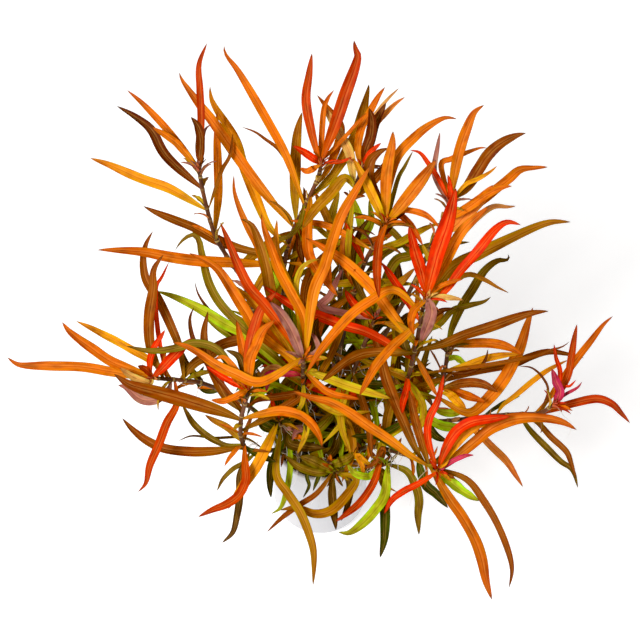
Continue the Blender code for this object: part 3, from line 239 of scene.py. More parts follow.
# Wool plug: dull fibrous mineral wool that fills the lower three quarters of the
# cup, lumpy on top, with loose fibres and scraps of moss lying on it. The wool and
# its fibres are coloured far darker than the wool itself, as painted shade.
def bars(paths, radii, sides):
    """Points and faces of round bars along paths, all of the same number of points.

    The ring round a path point has the point plus radius times (u cos a + v sin a),
    where u and v are square to the path there. Both ends are capped.
    """
    tangent = np.gradient(paths, axis=1)
    tangent /= np.linalg.norm(tangent, axis=2, keepdims=True)
    across = np.cross(tangent, [0.31, 0.95, 0.05])
    across /= np.linalg.norm(across, axis=2, keepdims=True)
    other = np.cross(tangent, across)
    turn = 2.0 * np.pi * np.arange(sides) / sides
    ring = across[:, :, None] * np.cos(turn)[:, None] + other[:, :, None] * np.sin(turn)[:, None]
    points = paths[:, :, None] + ring * np.asarray(radii)[:, :, None, None]
    many, length = paths.shape[:2]
    start = np.arange(many)[:, None, None] * length * sides
    row, side = np.meshgrid(np.arange(length - 1), np.arange(sides), indexing="ij")
    low, after = row * sides, (side + 1) % sides
    quads = np.stack([low + side, low + after, low + sides + after, low + sides + side], axis=-1)
    quads = (quads.reshape(1, -1, 4) + start).reshape(-1, 4)
    caps = [tuple(range(first + sides - 1, first - 1, -1)) for first in start.ravel()]
    caps += [tuple(range(first + (length - 1) * sides, first + length * sides)) for first in start.ravel()]
    return points.reshape(-1, 3), quads.tolist() + caps


WOOL_GAP = 0.0004
WOOL_TOP = 0.038
WOOL_EDGE = 0.0025
WOOL_LUMP = 0.0007
WOOL_SIDES = 96
WOOL_SIDE_FROM = 0.001
WOOL_SIDE_HEIGHT = 0.026
FIBRES = 1500
FIBRE_RADIUS = 0.00005
FIBRE_SIDES = 3
FIBRE_SEED = 41
FIBRE_EDGE = 0.0035
FIBRE_LENGTH = (0.0015, 0.0045)
FIBRE_BOW = 0.35
FIBRE_SUNK = 0.0004
FIBRE_LIFT = 0.0009

wool = Finish("mineral_wool", {"Roughness": 0.95})
place = wool.place()
lump = wool.noise(place, 420.0, 4.0, 0.6)
strand = wool.noise(wool.stretched(place, (1400.0, 500.0, 700.0)), 1.0, 3.0)
moss = wool.noise(place, 150.0, 3.0).between(0.52, 0.66)
# painted shade: the bare wool's near-black browns stand in for the shadow under the leaf mass; its lumps
# and strands are the wool's own
bare_with_painted_shade = wool.mix(lump.between(0.3, 0.7), (0.018, 0.014, 0.008), (0.085, 0.068, 0.040))
wool.drive("Base Color", wool.mix(moss * 0.7, wool.mix(strand * 0.5, bare_with_painted_shade, (0.20, 0.17, 0.11)),
                                  (0.025, 0.034, 0.010)))
wool.bump(lump + strand * 0.6, 0.0004)

wall = CUP_MOUTH_RADIUS - CUP_WALL - WOOL_GAP
bottom = CUP_FLOOR + WOOL_GAP
shoulder = arc((wall - WOOL_EDGE, WOOL_TOP - WOOL_EDGE), WOOL_EDGE, 0.0, 90.0, 6)
side_foot = bottom + CUP_CORNER + WOOL_SIDE_FROM
sides_up = [(wall, side_foot + step) for step in np.linspace(0.0, WOOL_SIDE_HEIGHT, 12)]
inwards = [(radius, WOOL_TOP) for radius in np.linspace(wall - WOOL_EDGE - 0.001, 0.0004, 18)]
points, faces = turned([(wall - CUP_CORNER, bottom)] + sides_up + shoulder + inwards, WOOL_SIDES)
x, y, z = points.T
waves = (np.sin(900 * x + 300 * y) + np.sin(740 * y - 520 * x + 1.3) + np.sin(1500 * x + 2.0)
         * np.sin(1300 * y + 0.4)) / 3.0
inset = WOOL_LUMP * (0.5 + 0.5 * waves)
reach = np.hypot(x, y) + 1e-9
points[:, 2] -= np.where(z > WOOL_TOP - WOOL_EDGE, inset, 0.0)
points[:, :2] -= (points[:, :2] / reach[:, None]) * (0.4 * inset * (z > bottom + CUP_CORNER))[:, None]
plug = make_piece("wool_plug_body", points, faces, wool)
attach(plug, "root")
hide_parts("wool_plug")

chance = np.random.default_rng(FIBRE_SEED)
middle = (wall - FIBRE_EDGE) * np.sqrt(chance.random(FIBRES))
turn = chance.random(FIBRES) * 2.0 * np.pi
heading = chance.random(FIBRES) * 2.0 * np.pi
length = chance.uniform(*FIBRE_LENGTH, FIBRES)
bow = chance.uniform(-FIBRE_BOW, FIBRE_BOW, FIBRES)
along = np.linspace(-0.5, 0.5, 6)
arch = 1.0 - 4.0 * along[None] ** 2
forward = along[None] * length[:, None]
sideways = (bow * length)[:, None] * arch
ahead_x, ahead_y = np.cos(heading)[:, None], np.sin(heading)[:, None]
paths = np.stack([(middle * np.cos(turn))[:, None] + forward * ahead_x - sideways * ahead_y,
                  (middle * np.sin(turn))[:, None] + forward * ahead_y + sideways * ahead_x,
                  WOOL_TOP - FIBRE_SUNK + chance.uniform(0.0, FIBRE_LIFT, FIBRES)[:, None] * arch], axis=2)
points, faces = bars(paths, np.full(paths.shape[:2], FIBRE_RADIUS), FIBRE_SIDES)
fibre = Finish("wool_fibre", {"Roughness": 0.7})
# painted shade: the fibres' dark browns stand in for the shadow under the leaf mass, not the fibres' own
# colour
fibre.drive("Base Color", fibre.mix(fibre.noise(fibre.place(), 700.0).between(0.35, 0.65),
                                    (0.06, 0.045, 0.025), (0.26, 0.23, 0.17)))
fibres = make_piece("wool_fibres", points, faces, fibre)
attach(fibres, "root")


# Stems: sixteen round shoots that leave the wool and fan out, each with swollen
# pale rings at its nodes. Places are given as seen from one viewpoint, across and
# down in the view's units with a depth in millimetres towards the viewer.
VIEW_ELEVATION = math.radians(60.0)
VIEW_TARGET = np.array([0.0, 0.0, 0.143])
VIEW_DISTANCE = 0.600
VIEW_FOCUS = 1752.0
VIEW_CENTRE = 320.0
MM_PER_PIXEL = VIEW_DISTANCE / VIEW_FOCUS / MM
VIEW_RIGHT = np.array([1.0, 0.0, 0.0])
VIEW_UP = np.array([0.0, math.sin(VIEW_ELEVATION), math.cos(VIEW_ELEVATION)])
VIEW_BACK = np.array([0.0, -math.cos(VIEW_ELEVATION), math.sin(VIEW_ELEVATION)])
STEM_RADIUS_ROOT = 0.00105
STEM_RADIUS_TIP = 0.00080
STEM_SIDES = 14
STEM_POINTS = 170
STEM_BETWEEN_NODES = 0.93
STEM_END_NARROWING = 0.45
STEM_END_LENGTH = 0.0015
NODE_SWELLING = 0.22
NODE_LENGTH = 0.0006
NODE_STEP = 0.0035
NODE_SHIFT = 0.0008
ROOT_DEPTH = 0.012
ROOT_COLLAR = (0.0015, 0.0045)
ROOT_COUNT = 14
ROOT_POINTS = 12
ROOT_LENGTH = (0.008, 0.026)
ROOT_LOWEST = 0.055
ROOT_HIGHEST = 0.105
ROOT_RADIUS = 0.00013
ROOT_SIDES = 4
ROOT_SEED = 900
ROOT_OUT = (0.7, 0.3)
ROOT_DROP = 0.75
ROOT_WOBBLE = 0.06
ROOT_THINNING = 0.6
STEM_SAMPLES = 60
CURVE_STEPS = 24


def seen(across, down, depth):
    """Point in space seen at (across, down), depth millimetres towards the viewer."""
    towards = np.asarray(depth, float) * MM
    scale = (VIEW_DISTANCE - towards) / VIEW_FOCUS
    right = (np.asarray(across, float) - VIEW_CENTRE) * scale
    up = (VIEW_CENTRE - np.asarray(down, float)) * scale
    return (VIEW_TARGET + right[..., None] * VIEW_RIGHT + up[..., None] * VIEW_UP
            + towards[..., None] * VIEW_BACK)


def looked_at(point):
    """(across, down, depth) of a point in space: the inverse of seen."""
    offset = np.asarray(point) - VIEW_TARGET
    depth = offset @ VIEW_BACK
    scale = VIEW_FOCUS / (VIEW_DISTANCE - depth)
    return (VIEW_CENTRE + (offset @ VIEW_RIGHT) * scale,
            VIEW_CENTRE - (offset @ VIEW_UP) * scale, depth / MM)


# Each shoot: where its root stands in the cup, as an angle in degrees counted
# anticlockwise from the right and a distance from the middle in millimetres, and
# then the points of its stem up to the growing tip.
STEMS = {
    "a": (150, 12.0, [(262, 335, -55), (243, 282, -45), (226, 255, -38), (214, 233, -33),
                      (203, 192, -26), (199, 168, -22)]),
    "b": (105, 12.5, [(300, 350, -58), (284, 300, -48), (286, 253, -37), (294, 229, -31),
                      (304, 208, -26), (318, 178, -21), (321, 163, -18)]),
    "c": (75, 6.5, [(338, 360, -50), (352, 300, -32), (367, 258, -20), (380, 238, -12), (386, 222, -6)]),
    "d": (45, 12.0, [(365, 370, -50), (405, 300, -32), (432, 245, -20), (450, 202, -10)]),
    "e": (5, 11.0, [(396, 423, -55), (445, 421, -51), (490, 416, -43), (520, 414, -37),
                    (540, 413, -33), (554, 404, -28)]),
    "f": (330, 11.5, [(368, 447, -59), (400, 453, -38), (422, 462, -22), (438, 470, -12)]),
    "g": (185, 12.5, [(270, 425, -64), (240, 400, -52), (205, 384, -42), (180, 380, -36),
                      (165, 379, -32), (152, 378, -28)]),
    "h": (210, 12.5, [(283, 450, -64), (256, 452, -50), (243, 444, -38), (241, 420, -24), (249, 390, -10)]),
    "j": (235, 12.5, [(296, 446, -62), (284, 430, -52), (279, 420, -46)]),
    "k": (20, 12.0, [(378, 372, -53), (402, 392, -38), (408, 378, -28), (413, 358, -18),
                     (418, 335, -8), (422, 312, 0), (427, 298, 6)]),
    "m": (125, 6.5, [(305, 400, -48), (303, 375, -24), (304, 358, -8)]),
    "q": (350, 11.5, [(384, 429, -56), (425, 415, -46), (440, 392, -38), (445, 370, -32), (448, 348, -27)]),
    "r": (270, 12.5, [(328, 462, -60), (334, 472, -52)]),
    "s": (300, 11.5, [(350, 462, -59), (372, 466, -52), (388, 464, -44)]),
    "n": (340, 5.5, [(345, 395, -54), (362, 350, -38), (375, 318, -26)]),
    "t": (75, 12.5, [(338, 330, -52), (341, 270, -40), (347, 220, -28), (354, 192, -20), (362, 168, -14)]),
}


def smooth_path(points, count):
    """count points at even steps along a smooth curve through the given points."""
    points = np.array(points, float)
    ends = np.vstack([2 * points[0] - points[1], points, 2 * points[-1] - points[-2]])
    p0, p1, p2, p3 = ends[:-3, None], ends[1:-2, None], ends[2:-1, None], ends[3:, None]
    t = np.linspace(0.0, 1.0, CURVE_STEPS, endpoint=False)[None, :, None]
    curve = 0.5 * (2 * p1 + (p2 - p0) * t + (2 * p0 - 5 * p1 + 4 * p2 - p3) * t ** 2
                   + (3 * p1 - p0 - 3 * p2 + p3) * t ** 3)
    curve = np.vstack([curve.reshape(-1, points.shape[1]), points[-1:]])
    steps = np.linalg.norm(np.diff(curve, axis=0), axis=1)
    along = np.concatenate([[0.0], np.cumsum(steps)])
    wanted = np.linspace(0.0, along[-1], count)
    return np.stack([np.interp(wanted, along, column) for column in curve.T], axis=1)


def stem_path(angle, distance, points):
    """The stem's middle line, from its root in the wool to its growing tip."""
    turn = math.radians(angle)
    foot = np.array([math.cos(turn), math.sin(turn), 0.0]) * distance * MM
    bottom = foot + [0.0, 0.0, WOOL_TOP - ROOT_DEPTH]
    roots = [foot + [0.0, 0.0, WOOL_TOP + height] for height in ROOT_COLLAR]
    places = np.array(points, float)
    path = smooth_path(roots + list(seen(places[:, 0], places[:, 1], places[:, 2])), STEM_SAMPLES)
    return np.vstack([bottom, path])


def node_heights(length, phase):
    """Distances of the nodes from the growing tip: close together there, wider below.

    Node n is at 3.5 mm times n^1.3, shifted a little by a sine of n and a phase.
    """
    count = np.arange(1, 20)
    gaps = NODE_STEP * count ** 1.3 + NODE_SHIFT * np.sin(2.4 * count + phase)
    return gaps[gaps < length]


stem_paths = {shoot: stem_path(*row) for shoot, row in STEMS.items()}

stem_skin = Finish("stem_skin", {"IOR": 1.42, "Specular IOR Level": 0.30})
ring = stem_skin.attribute("ring")
height = stem_skin.attribute("height")
place = stem_skin.place()
fleck = stem_skin.noise(place, 900.0, 3.0)
stain = stem_skin.noise(place, 120.0, 2.0)
low = stem_skin.mix(stain.between(0.35, 0.65), (0.030, 0.018, 0.006), (0.075, 0.060, 0.015))
high = stem_skin.mix(stain.between(0.35, 0.65), (0.060, 0.018, 0.006), (0.150, 0.045, 0.012))
skin = stem_skin.mix(height.between(0.15, 0.95), low, high)
skin = stem_skin.mix(fleck.between(0.5, 0.75) * 0.20, skin, (0.30, 0.16, 0.04))
stem_skin.drive("Base Color", stem_skin.mix(ring.between(0.45, 0.95) * 0.70, skin, (0.50, 0.36, 0.10)))
stem_skin.drive("Roughness", 0.36 + fleck * 0.25)
stem_skin.bump(fleck + ring * 0.4, 0.00008)

for shoot, path in stem_paths.items():
    line = smooth_path(path, STEM_POINTS)
    steps = np.linalg.norm(np.diff(line, axis=0), axis=1)
    gone = np.concatenate([[0.0], np.cumsum(steps)])
    from_tip = gone[-1] - gone
    nodes = node_heights(gone[-1] - ROOT_DEPTH, path[-1, 0] / MM)
    ring = np.exp(-((from_tip[:, None] - nodes) / NODE_LENGTH) ** 2).max(axis=1)
    radii = STEM_RADIUS_ROOT + (STEM_RADIUS_TIP - STEM_RADIUS_ROOT) * gone / gone[-1]
    radii = radii * (STEM_BETWEEN_NODES + NODE_SWELLING * ring)
    radii = radii * (1.0 - STEM_END_NARROWING * np.exp(-from_tip / STEM_END_LENGTH))
    points, faces = bars(line[None], radii[None], STEM_SIDES)
    stem = make_piece(f"stem_{shoot}_bar", points, faces, stem_skin,
                      ring=np.repeat(ring, STEM_SIDES), height=np.repeat(gone / gone[-1], STEM_SIDES))
    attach(stem, "root")
    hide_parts(f"stem_{shoot}")

root_white = Finish("root_white", {"Roughness": 0.45, "IOR": 1.38})
along = root_white.attribute("along")
root_white.drive("Base Color", root_white.mix(along.between(0.0, 0.7), (0.50, 0.36, 0.20),
                                              (0.82, 0.80, 0.74)))
s = np.linspace(0.0, 1.0, ROOT_POINTS)[None, :, None]
strands = []
for number, (shoot, path) in enumerate(stem_paths.items()):
    chance = np.random.default_rng(ROOT_SEED + number)
    line = smooth_path(path, STEM_POINTS)
    feet = line[(line[:, 2] > ROOT_LOWEST) & (line[:, 2] < ROOT_HIGHEST)]
    if len(feet) == 0:
        continue
    feet = feet[chance.integers(0, len(feet), ROOT_COUNT)][:, None]
    turn = chance.uniform(0.0, 2.0 * np.pi, ROOT_COUNT)
    away = np.stack([np.cos(turn), np.sin(turn), 0.0 * turn], axis=1)[:, None]
    length = chance.uniform(*ROOT_LENGTH, ROOT_COUNT)[:, None, None]
    rate, start = (chance.uniform(*span, (ROOT_COUNT, 1, 3)) for span in ((4.0, 11.0), (0.0, 6.0)))
    outwards = away * (ROOT_OUT[0] * s - ROOT_OUT[1] * s ** 2)
    downwards = s ** 1.5 * [0.0, 0.0, -ROOT_DROP]
    strands.append(feet + length * (outwards + downwards + ROOT_WOBBLE * s * np.sin(s * rate + start)))
paths = np.concatenate(strands)
paths[:, :, 2] = np.maximum(paths[:, :, 2], WOOL_TOP)
thin = ROOT_RADIUS * (1.0 - ROOT_THINNING * np.repeat(s[0].T, len(paths), axis=0))
points, faces = bars(paths, thin, ROOT_SIDES)
roots = make_piece("fine_roots", points, faces, root_white,
                   along=np.tile(np.repeat(s.ravel(), ROOT_SIDES), len(paths)))
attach(roots, "root")


# Leaves: each is a thin blade, folded along its midrib, with wavy edges and a
# pointed tip. Young ones stand on the growing tip (c), older ones on the stem (s)
# or are solids of their own in the frame (o). Its colour is a tint's name.
LEAF_BASE_WIDTH = 0.42
LEAF_WIDEST_AT = 0.5
LEAF_TAPER = 2.2
LEAF_BASE_SPREAD = 0.00050
LEAF_LIFT_BEND = 1.2
LEAF_LEVELLING = 0.70
LEAF_LEVEL_FROM = 40.0
LEAF_CLEARANCE = 0.0021
STEM_CLEARANCE = 0.0024
LEAF_HELD = 0.0015
LEAF_FREE = 0.0090
EDGE_MARGIN = 0.6
LEAST_MOBILITY = 0.05
RELAX_ROUNDS = 160
RELAX_GAIN = 0.7
CROWN_SAMPLES = 4
LEAF_SAMPLES = 26
GOLDEN_TURN = math.pi * (3.0 - math.sqrt(5.0))

# Leaves inside the bunch: where the first one stands below the growing tip, the
# step to the next, their length and width, all in millimetres, and how far along
# each one it bends
FILL_FIRST = 14.0
FILL_STEP = 14.0
FILL_LENGTH = 30.0
FILL_WIDTH = 3.6
FILL_WAY = 0.55

# How length, bend in radians, width and lift swing from leaf to leaf: by how much,
# how fast, and how far the swing is shifted from shoot to shoot
FILL_SWINGS = ((6.0, 2.1, 1.0), (0.30, 1.7, 1.0), (0.6, 1.0, 1.0), (4.0, 1.3, 2.0))
FILL_TURN = 1.3
FILL_MOST = 12
FILL_TRIES = 12
FILL_TRY_STEP = 3

# The least room from a leaf's first FILL_FOOT to other stems, from all of it to
# other shoots, and from it to the cup's underside; the core the leaves stay in, as
# its middle and its half width and half height in the view
FILL_APART = 0.0034
FILL_FOOT = 0.013
FILL_ROOM = 0.0029
FILL_LOWEST = 0.050
FILL_CHECKS = 200
FILL_CORE = ((338.0, 335.0), (115.0, 150.0))
FILL_COLOURS = (("green", "olive", "umber", "lime", "brown"),
                ("brown", "olive", "ochre", "umber", "orange"),
                ("orange", "brown", "ochre", "amber"))


def leaf(kind, colour, width, lift, *points):
    """One leaf: fused to the crown (c) or the stem (s), or a solid of its own (o).

    width is in millimetres, and lift says how many millimetres the tip is nearer
    to the viewer than the base. The points run from the tip to the base.
    """
    return kind, colour, width, lift, points


LEAVES = {
    "a": [
        leaf("c", "ember", 2.9, 2, (207, 43), (199, 65), (200, 90), (201, 125), (200, 165)),
        leaf("c", "maroon", 3.8, 9, (191, 117), (198, 127), (201, 140), (199, 160)),
        leaf("c", "orange", 2.8, 0, (127, 90), (145, 106), (171, 134), (196, 167)),
        leaf("c", "orange", 3.0, 6, (152, 127), (176, 143), (193, 160)),
        leaf("o", "maroon", 3.9, 5, (117, 106), (138, 119), (152, 131), (167, 157), (200, 188)),
        leaf("o", "amber", 3.9, 0, (90, 158), (112, 166), (139, 178), (170, 189), (203, 209)),
        leaf("c", "mauve", 1.5, 3, (211, 124), (204, 133), (201, 150)),
        leaf("s", "brown", 1.6, -4, (233, 133), (230, 155), (222, 170), (215, 190), (209, 210)),
        leaf("o", "orange", 3.5, -5, (217, 112), (217, 140), (218, 173), (218, 200), (218, 236)),
    ],
    "b": [
        leaf("c", "ember", 3.6, 4, (312, 53), (309, 75), (306, 100), (311, 130), (321, 160)),
        leaf("c", "ember", 4.8, 8, (354, 40), (355, 48), (357, 60), (345, 95), (335, 125), (325, 158)),
        leaf("c", "red", 3.0, 6, (293, 146), (305, 153), (320, 162)),
        leaf("c", "orange", 1.7, 5, (366, 113), (358, 122), (345, 137), (330, 154)),
        leaf("c", "red", 1.5, 3, (352, 157), (340, 162), (325, 165)),
        leaf("c", "orange", 2.6, -3, (300, 168), (308, 171), (317, 176)),
        leaf("c", "orange", 2.4, -2, (334, 90), (327, 100), (323, 115), (325, 140)),
        leaf("o", "ochre", 4.6, 0, (369, 84), (367, 95), (358, 130), (346, 155), (332, 177),
             (314, 195)),
        leaf("o", "orange", 4.4, 4, (179, 72), (182, 80), (199, 104), (214, 123), (248, 171),
             (268, 197), (290, 225)),
        leaf("o", "amber", 4.3, -6, (210, 86), (213, 103), (235, 140), (243, 165), (258, 203),
             (270, 228), (286, 248)),
        leaf("o", "orange", 3.5, -3, (224, 45), (226, 55), (240, 74), (271, 127), (288, 160),
             (304, 206)),
        leaf("o", "ochre", 4.4, -2, (302, 112), (298, 130), (296, 150), (295, 190), (296, 220)),
        leaf("s", "brown", 1.5, -2, (242, 127), (255, 132), (265, 139), (280, 151), (294, 175),
             (304, 206)),
        leaf("o", "brown", 4.4, 12, (143, 206), (155, 212), (174, 220), (194, 228), (214, 239),
             (240, 249), (284, 256)),
        leaf("o", "orange", 4.4, 17, (97, 250), (110, 250), (143, 252), (170, 257), (200, 261),
             (240, 263), (284, 268)),
        leaf("s", "orange", 3.2, -5, (317, 95), (325, 105), (333, 115), (341, 130), (330, 165),
             (316, 182)),
        leaf("s", "maroon", 2.9, -2, (304, 266), (300, 250), (299, 236), (300, 222)),
    ],
    "c": [
        leaf("c", "brown", 4.4, -3, (388, 148), (378, 153), (370, 163), (370, 180), (384, 214)),
        leaf("c", "orange", 4.4, 4, (393, 131), (392, 145), (388, 165), (386, 185), (387, 216)),
        leaf("c", "olive", 1.7, -2, (413, 151), (405, 166), (397, 182), (390, 205)),
        leaf("c", "orange", 3.7, 1, (457, 119), (445, 118), (430, 125), (415, 137), (397, 157),
             (387, 190), (387, 214)),
        leaf("c", "orange", 4.9, 9, (436, 160), (425, 175), (412, 192), (400, 207), (388, 218)),
        leaf("c", "amber", 3.8, 3, (353, 158), (362, 175), (372, 195), (386, 217)),
        leaf("c", "orange", 2.6, 2, (440, 228), (427, 216), (412, 211), (400, 211), (388, 219)),
        leaf("c", "ember", 3.5, 5, (379, 298), (377, 275), (378, 250), (381, 236), (385, 224)),
        leaf("s", "maroon", 4.4, 5, (406, 212), (398, 215), (391, 220), (384, 230)),
        leaf("s", "red", 2.3, 8, (345, 222), (352, 238), (362, 257), (368, 268)),
        leaf("s", "lime", 3.8, -4, (369, 200), (371, 222), (362, 240), (358, 262), (353, 300)),
        leaf("s", "olive", 3.2, -6, (421, 245), (405, 244), (388, 250), (376, 262), (364, 268)),
        leaf("s", "gold", 3.0, -2, (440, 223), (427, 228), (413, 235), (399, 243), (384, 248),
             (374, 262)),
        leaf("s", "rust", 2.6, 3, (423, 246), (416, 233), (408, 222), (396, 216), (388, 222)),
    ],
    "d": [
        leaf("c", "mauve", 2.1, 2, (440, 132), (437, 150), (434, 170), (438, 185), (449, 200)),
        leaf("c", "orange", 4.1, 8, (484, 105), (474, 113), (467, 128), (461, 145), (456, 165),
             (451, 195)),
        leaf("c", "orange", 2.2, -2, (487, 148), (480, 148), (466, 153), (451, 159), (441, 166),
             (448, 195)),
        leaf("c", "brown", 4.5, 0, (526, 133), (515, 136), (500, 144), (488, 155), (478, 170),
             (466, 188), (453, 200)),
        leaf("c", "amber", 1.7, 4, (497, 166), (490, 172), (478, 179), (465, 185), (453, 196)),
        leaf("s", "orange", 3.9, 0, (548, 167), (535, 168), (520, 170), (508, 180), (485, 198),
             (466, 212), (447, 214)),
        leaf("c", "red", 1.9, 4, (410, 150), (420, 153), (428, 163), (438, 178), (447, 198)),
        leaf("c", "red", 2.0, 7, (448, 175), (450, 187), (450, 200)),
        leaf("s", "orange", 3.5, 5, (512, 186), (501, 188), (486, 195), (467, 208), (445, 222)),
        leaf("s", "salmon", 4.9, 9, (493, 185), (481, 199), (467, 213), (455, 226), (441, 238)),
        leaf("s", "peach", 2.9, 1, (516, 206), (508, 207), (493, 207), (476, 219), (455, 240),
             (434, 248)),
    ],
    "k": [
        leaf("c", "red", 5.9, 12, (456, 188), (448, 222), (437, 255), (429, 292)),
        leaf("c", "orange", 4.1, 9, (489, 206), (463, 230), (447, 258), (431, 290)),
        leaf("c", "red", 4.4, 9, (409, 226), (415, 251), (421, 271), (427, 292)),
        leaf("o", "ochre", 4.5, -3, (571, 222), (553, 222), (536, 227), (508, 240), (478, 255),
             (450, 270), (428, 290)),
        leaf("c", "red", 3.8, 6, (521, 225), (508, 222), (496, 229), (480, 248), (460, 272),
             (440, 296), (429, 303)),
        leaf("c", "orange", 2.0, 5, (463, 279), (448, 283), (436, 289), (429, 296)),
        leaf("s", "ochre", 2.0, -4, (509, 293), (497, 287), (483, 279), (466, 275), (440, 290),
             (425, 303)),
        leaf("s", "olive", 2.5, -6, (491, 297), (483, 302), (467, 306), (452, 311), (438, 326),
             (419, 333)),
        leaf("s", "maroon", 2.2, -2, (454, 308), (441, 311), (431, 318), (420, 325)),
        leaf("c", "mauve", 4.6, 9, (421, 341), (427, 326), (431, 312), (428, 298)),
        leaf("c", "orange", 2.9, 7, (414, 335), (411, 324), (414, 310), (425, 300)),
        leaf("o", "brown", 4.1, 3, (549, 311), (532, 313), (515, 318), (490, 327), (465, 335),
             (440, 345), (415, 352)),
        leaf("s", "orange", 3.8, 8, (306, 374), (320, 351), (335, 332), (352, 314), (372, 300),
             (395, 290), (423, 303)),
        leaf("o", "orange", 4.6, 9, (306, 238), (322, 247), (345, 262), (372, 288), (390, 312),
             (404, 330), (416, 345)),
        leaf("s", "red", 3.3, 8, (381, 262), (390, 275), (400, 290), (410, 306), (420, 322)),
        leaf("o", "red", 4.4, 9, (262, 285), (280, 298), (300, 310), (320, 317), (345, 326),
             (365, 332), (388, 344), (411, 360)),
        leaf("s", "umber", 4.4, 4, (421, 313), (407, 318), (401, 331), (404, 346), (412, 360)),
        leaf("s", "brown", 3.5, -14, (584, 358), (566, 354), (548, 352), (530, 357), (512, 364),
             (470, 372), (404, 390)),
        leaf("s", "brown", 1.7, -9, (570, 341), (562, 347), (550, 350), (535, 356), (480, 366),
             (410, 374)),
        leaf("s", "red", 2.9, 6, (402, 414), (403, 402), (407, 388), (408, 376)),
        leaf("s", "orange", 2.6, 3, (410, 416), (415, 404), (411, 390), (406, 382)),
        leaf("c", "peach", 2.2, 3, (463, 300), (452, 298), (441, 297), (430, 298)),
    ],
    "e": [
        leaf("c", "ember", 2.9, 6, (577, 324), (574, 340), (571, 359), (567, 378), (560, 398)),
        leaf("c", "red", 2.0, 3, (554, 344), (556, 358), (560, 375), (559, 396)),
        leaf("c", "magenta", 3.6, 8, (552, 369), (556, 382), (560, 392), (556, 403)),
        leaf("c", "magenta", 1.3, 6, (582, 382), (577, 388), (566, 394), (556, 402)),
        leaf("c", "red", 1.2, 7, (576, 380), (570, 386), (564, 388), (557, 398)),
        leaf("o", "ember", 3.6, 0, (630, 423), (621, 413), (612, 404), (597, 399), (575, 403),
             (550, 410), (537, 413)),
        leaf("o", "orange", 2.9, -5, (613, 316), (603, 325), (590, 342), (575, 361), (560, 382),
             (547, 401), (537, 413)),
        leaf("s", "amber", 2.3, -3, (568, 360), (550, 369), (534, 380), (516, 395), (503, 405),
             (492, 415)),
        leaf("s", "maroon", 1.0, 2, (519, 366), (532, 368), (543, 378), (548, 392), (546, 406)),
        leaf("s", "olive", 2.6, -4, (578, 488), (572, 470), (560, 461), (545, 446), (530, 430),
             (516, 414)),
        leaf("s", "brown", 2.5, 2, (576, 479), (571, 463), (566, 451), (551, 437), (538, 423),
             (524, 414)),
        leaf("s", "salmon", 3.2, 4, (523, 487), (516, 476), (506, 461), (491, 446), (479, 434),
             (462, 419)),
        leaf("s", "green", 1.7, -9, (520, 396), (505, 402), (497, 407), (480, 415)),
    ],
    "q": [
        leaf("c", "olive", 3.5, 2, (508, 254), (508, 260), (497, 261), (484, 271), (471, 291),
             (461, 307), (452, 328), (448, 346)),
        leaf("c", "orange", 3.8, 9, (523, 355), (505, 346), (485, 343), (465, 344), (448, 349)),
        leaf("s", "amber", 3.0, 4, (520, 354), (505, 355), (488, 358), (470, 364), (446, 369)),
        leaf("s", "maroon", 1.6, 7, (488, 349), (486, 358), (480, 367), (466, 373), (445, 372)),
        leaf("o", "orange", 5.0, 8, (533, 307), (527, 325), (521, 345), (514, 361), (503, 381),
             (487, 400), (468, 413), (437, 400)),
        leaf("s", "brown", 3.8, 5, (498, 392), (482, 384), (465, 383), (445, 388)),
        leaf("s", "orange", 3.6, 3, (486, 402), (470, 397), (456, 392), (441, 391)),
        leaf("s", "amber", 3.5, 5, (466, 409), (457, 401), (449, 394), (440, 392)),
        leaf("s", "lime", 3.8, -3, (467, 426), (452, 427), (438, 424), (426, 414)),
        leaf("s", "green", 3.5, -5, (447, 441), (436, 436), (426, 424), (418, 416)),
        leaf("s", "umber", 2.9, -6, (398, 362), (412, 368), (427, 372), (443, 376)),
        leaf("s", "lime", 2.6, -5, (470, 368), (455, 358), (448, 352)),
        leaf("s", "lime", 3.4, -3, (462, 413), (451, 413), (440, 411), (431, 406)),
    ],
    "f": [
        leaf("c", "red", 2.9, 7, (444, 374), (438, 400), (429, 420), (428, 440), (438, 466)),
        leaf("c", "red", 4.2, 5, (511, 416), (490, 419), (472, 422), (457, 431), (446, 448),
             (440, 466)),
        leaf("c", "orange", 4.8, 6, (577, 430), (562, 422), (540, 418), (515, 419), (492, 428),
             (475, 442), (455, 458), (441, 468)),
        leaf("c", "amber", 3.2, 3, (487, 424), (472, 430), (458, 442), (445, 460)),
        leaf("c", "magenta", 1.9, 4, (474, 455), (465, 456), (453, 461), (441, 468)),
        leaf("c", "red", 2.8, 6, (384, 514), (392, 500), (403, 492), (416, 485), (428, 478),
             (438, 471)),
        leaf("o", "orange", 4.8, 2, (492, 600), (486, 581), (482, 561), (475, 540), (463, 518),
             (448, 497), (435, 475)),
        leaf("o", "brown", 2.9, 0, (509, 588), (512, 570), (508, 550), (498, 525), (484, 501),
             (466, 479), (438, 467)),
        leaf("s", "lime", 4.2, -4, (479, 501), (462, 491), (447, 479), (432, 469)),
        leaf("s", "green", 3.8, -4, (448, 508), (436, 494), (425, 483), (412, 467)),
        leaf("o", "orange", 3.9, 4, (292, 391), (310, 397), (330, 402), (350, 413), (370, 427),
             (390, 440), (410, 455), (429, 468)),
        leaf("o", "brown", 4.4, 3, (368, 320), (379, 350), (386, 378), (395, 402), (405, 425),
             (415, 448), (424, 466)),
        leaf("s", "umber", 2.9, -6, (466, 434), (450, 450), (436, 462), (424, 468)),
        leaf("s", "brown", 3.4, 0, (409, 390), (414, 415), (421, 440), (431, 466)),
    ],
    "g": [
        leaf("c", "orange", 4.1, -2, (7, 357), (20, 365), (51, 366), (82, 367), (112, 372), (148, 378)),
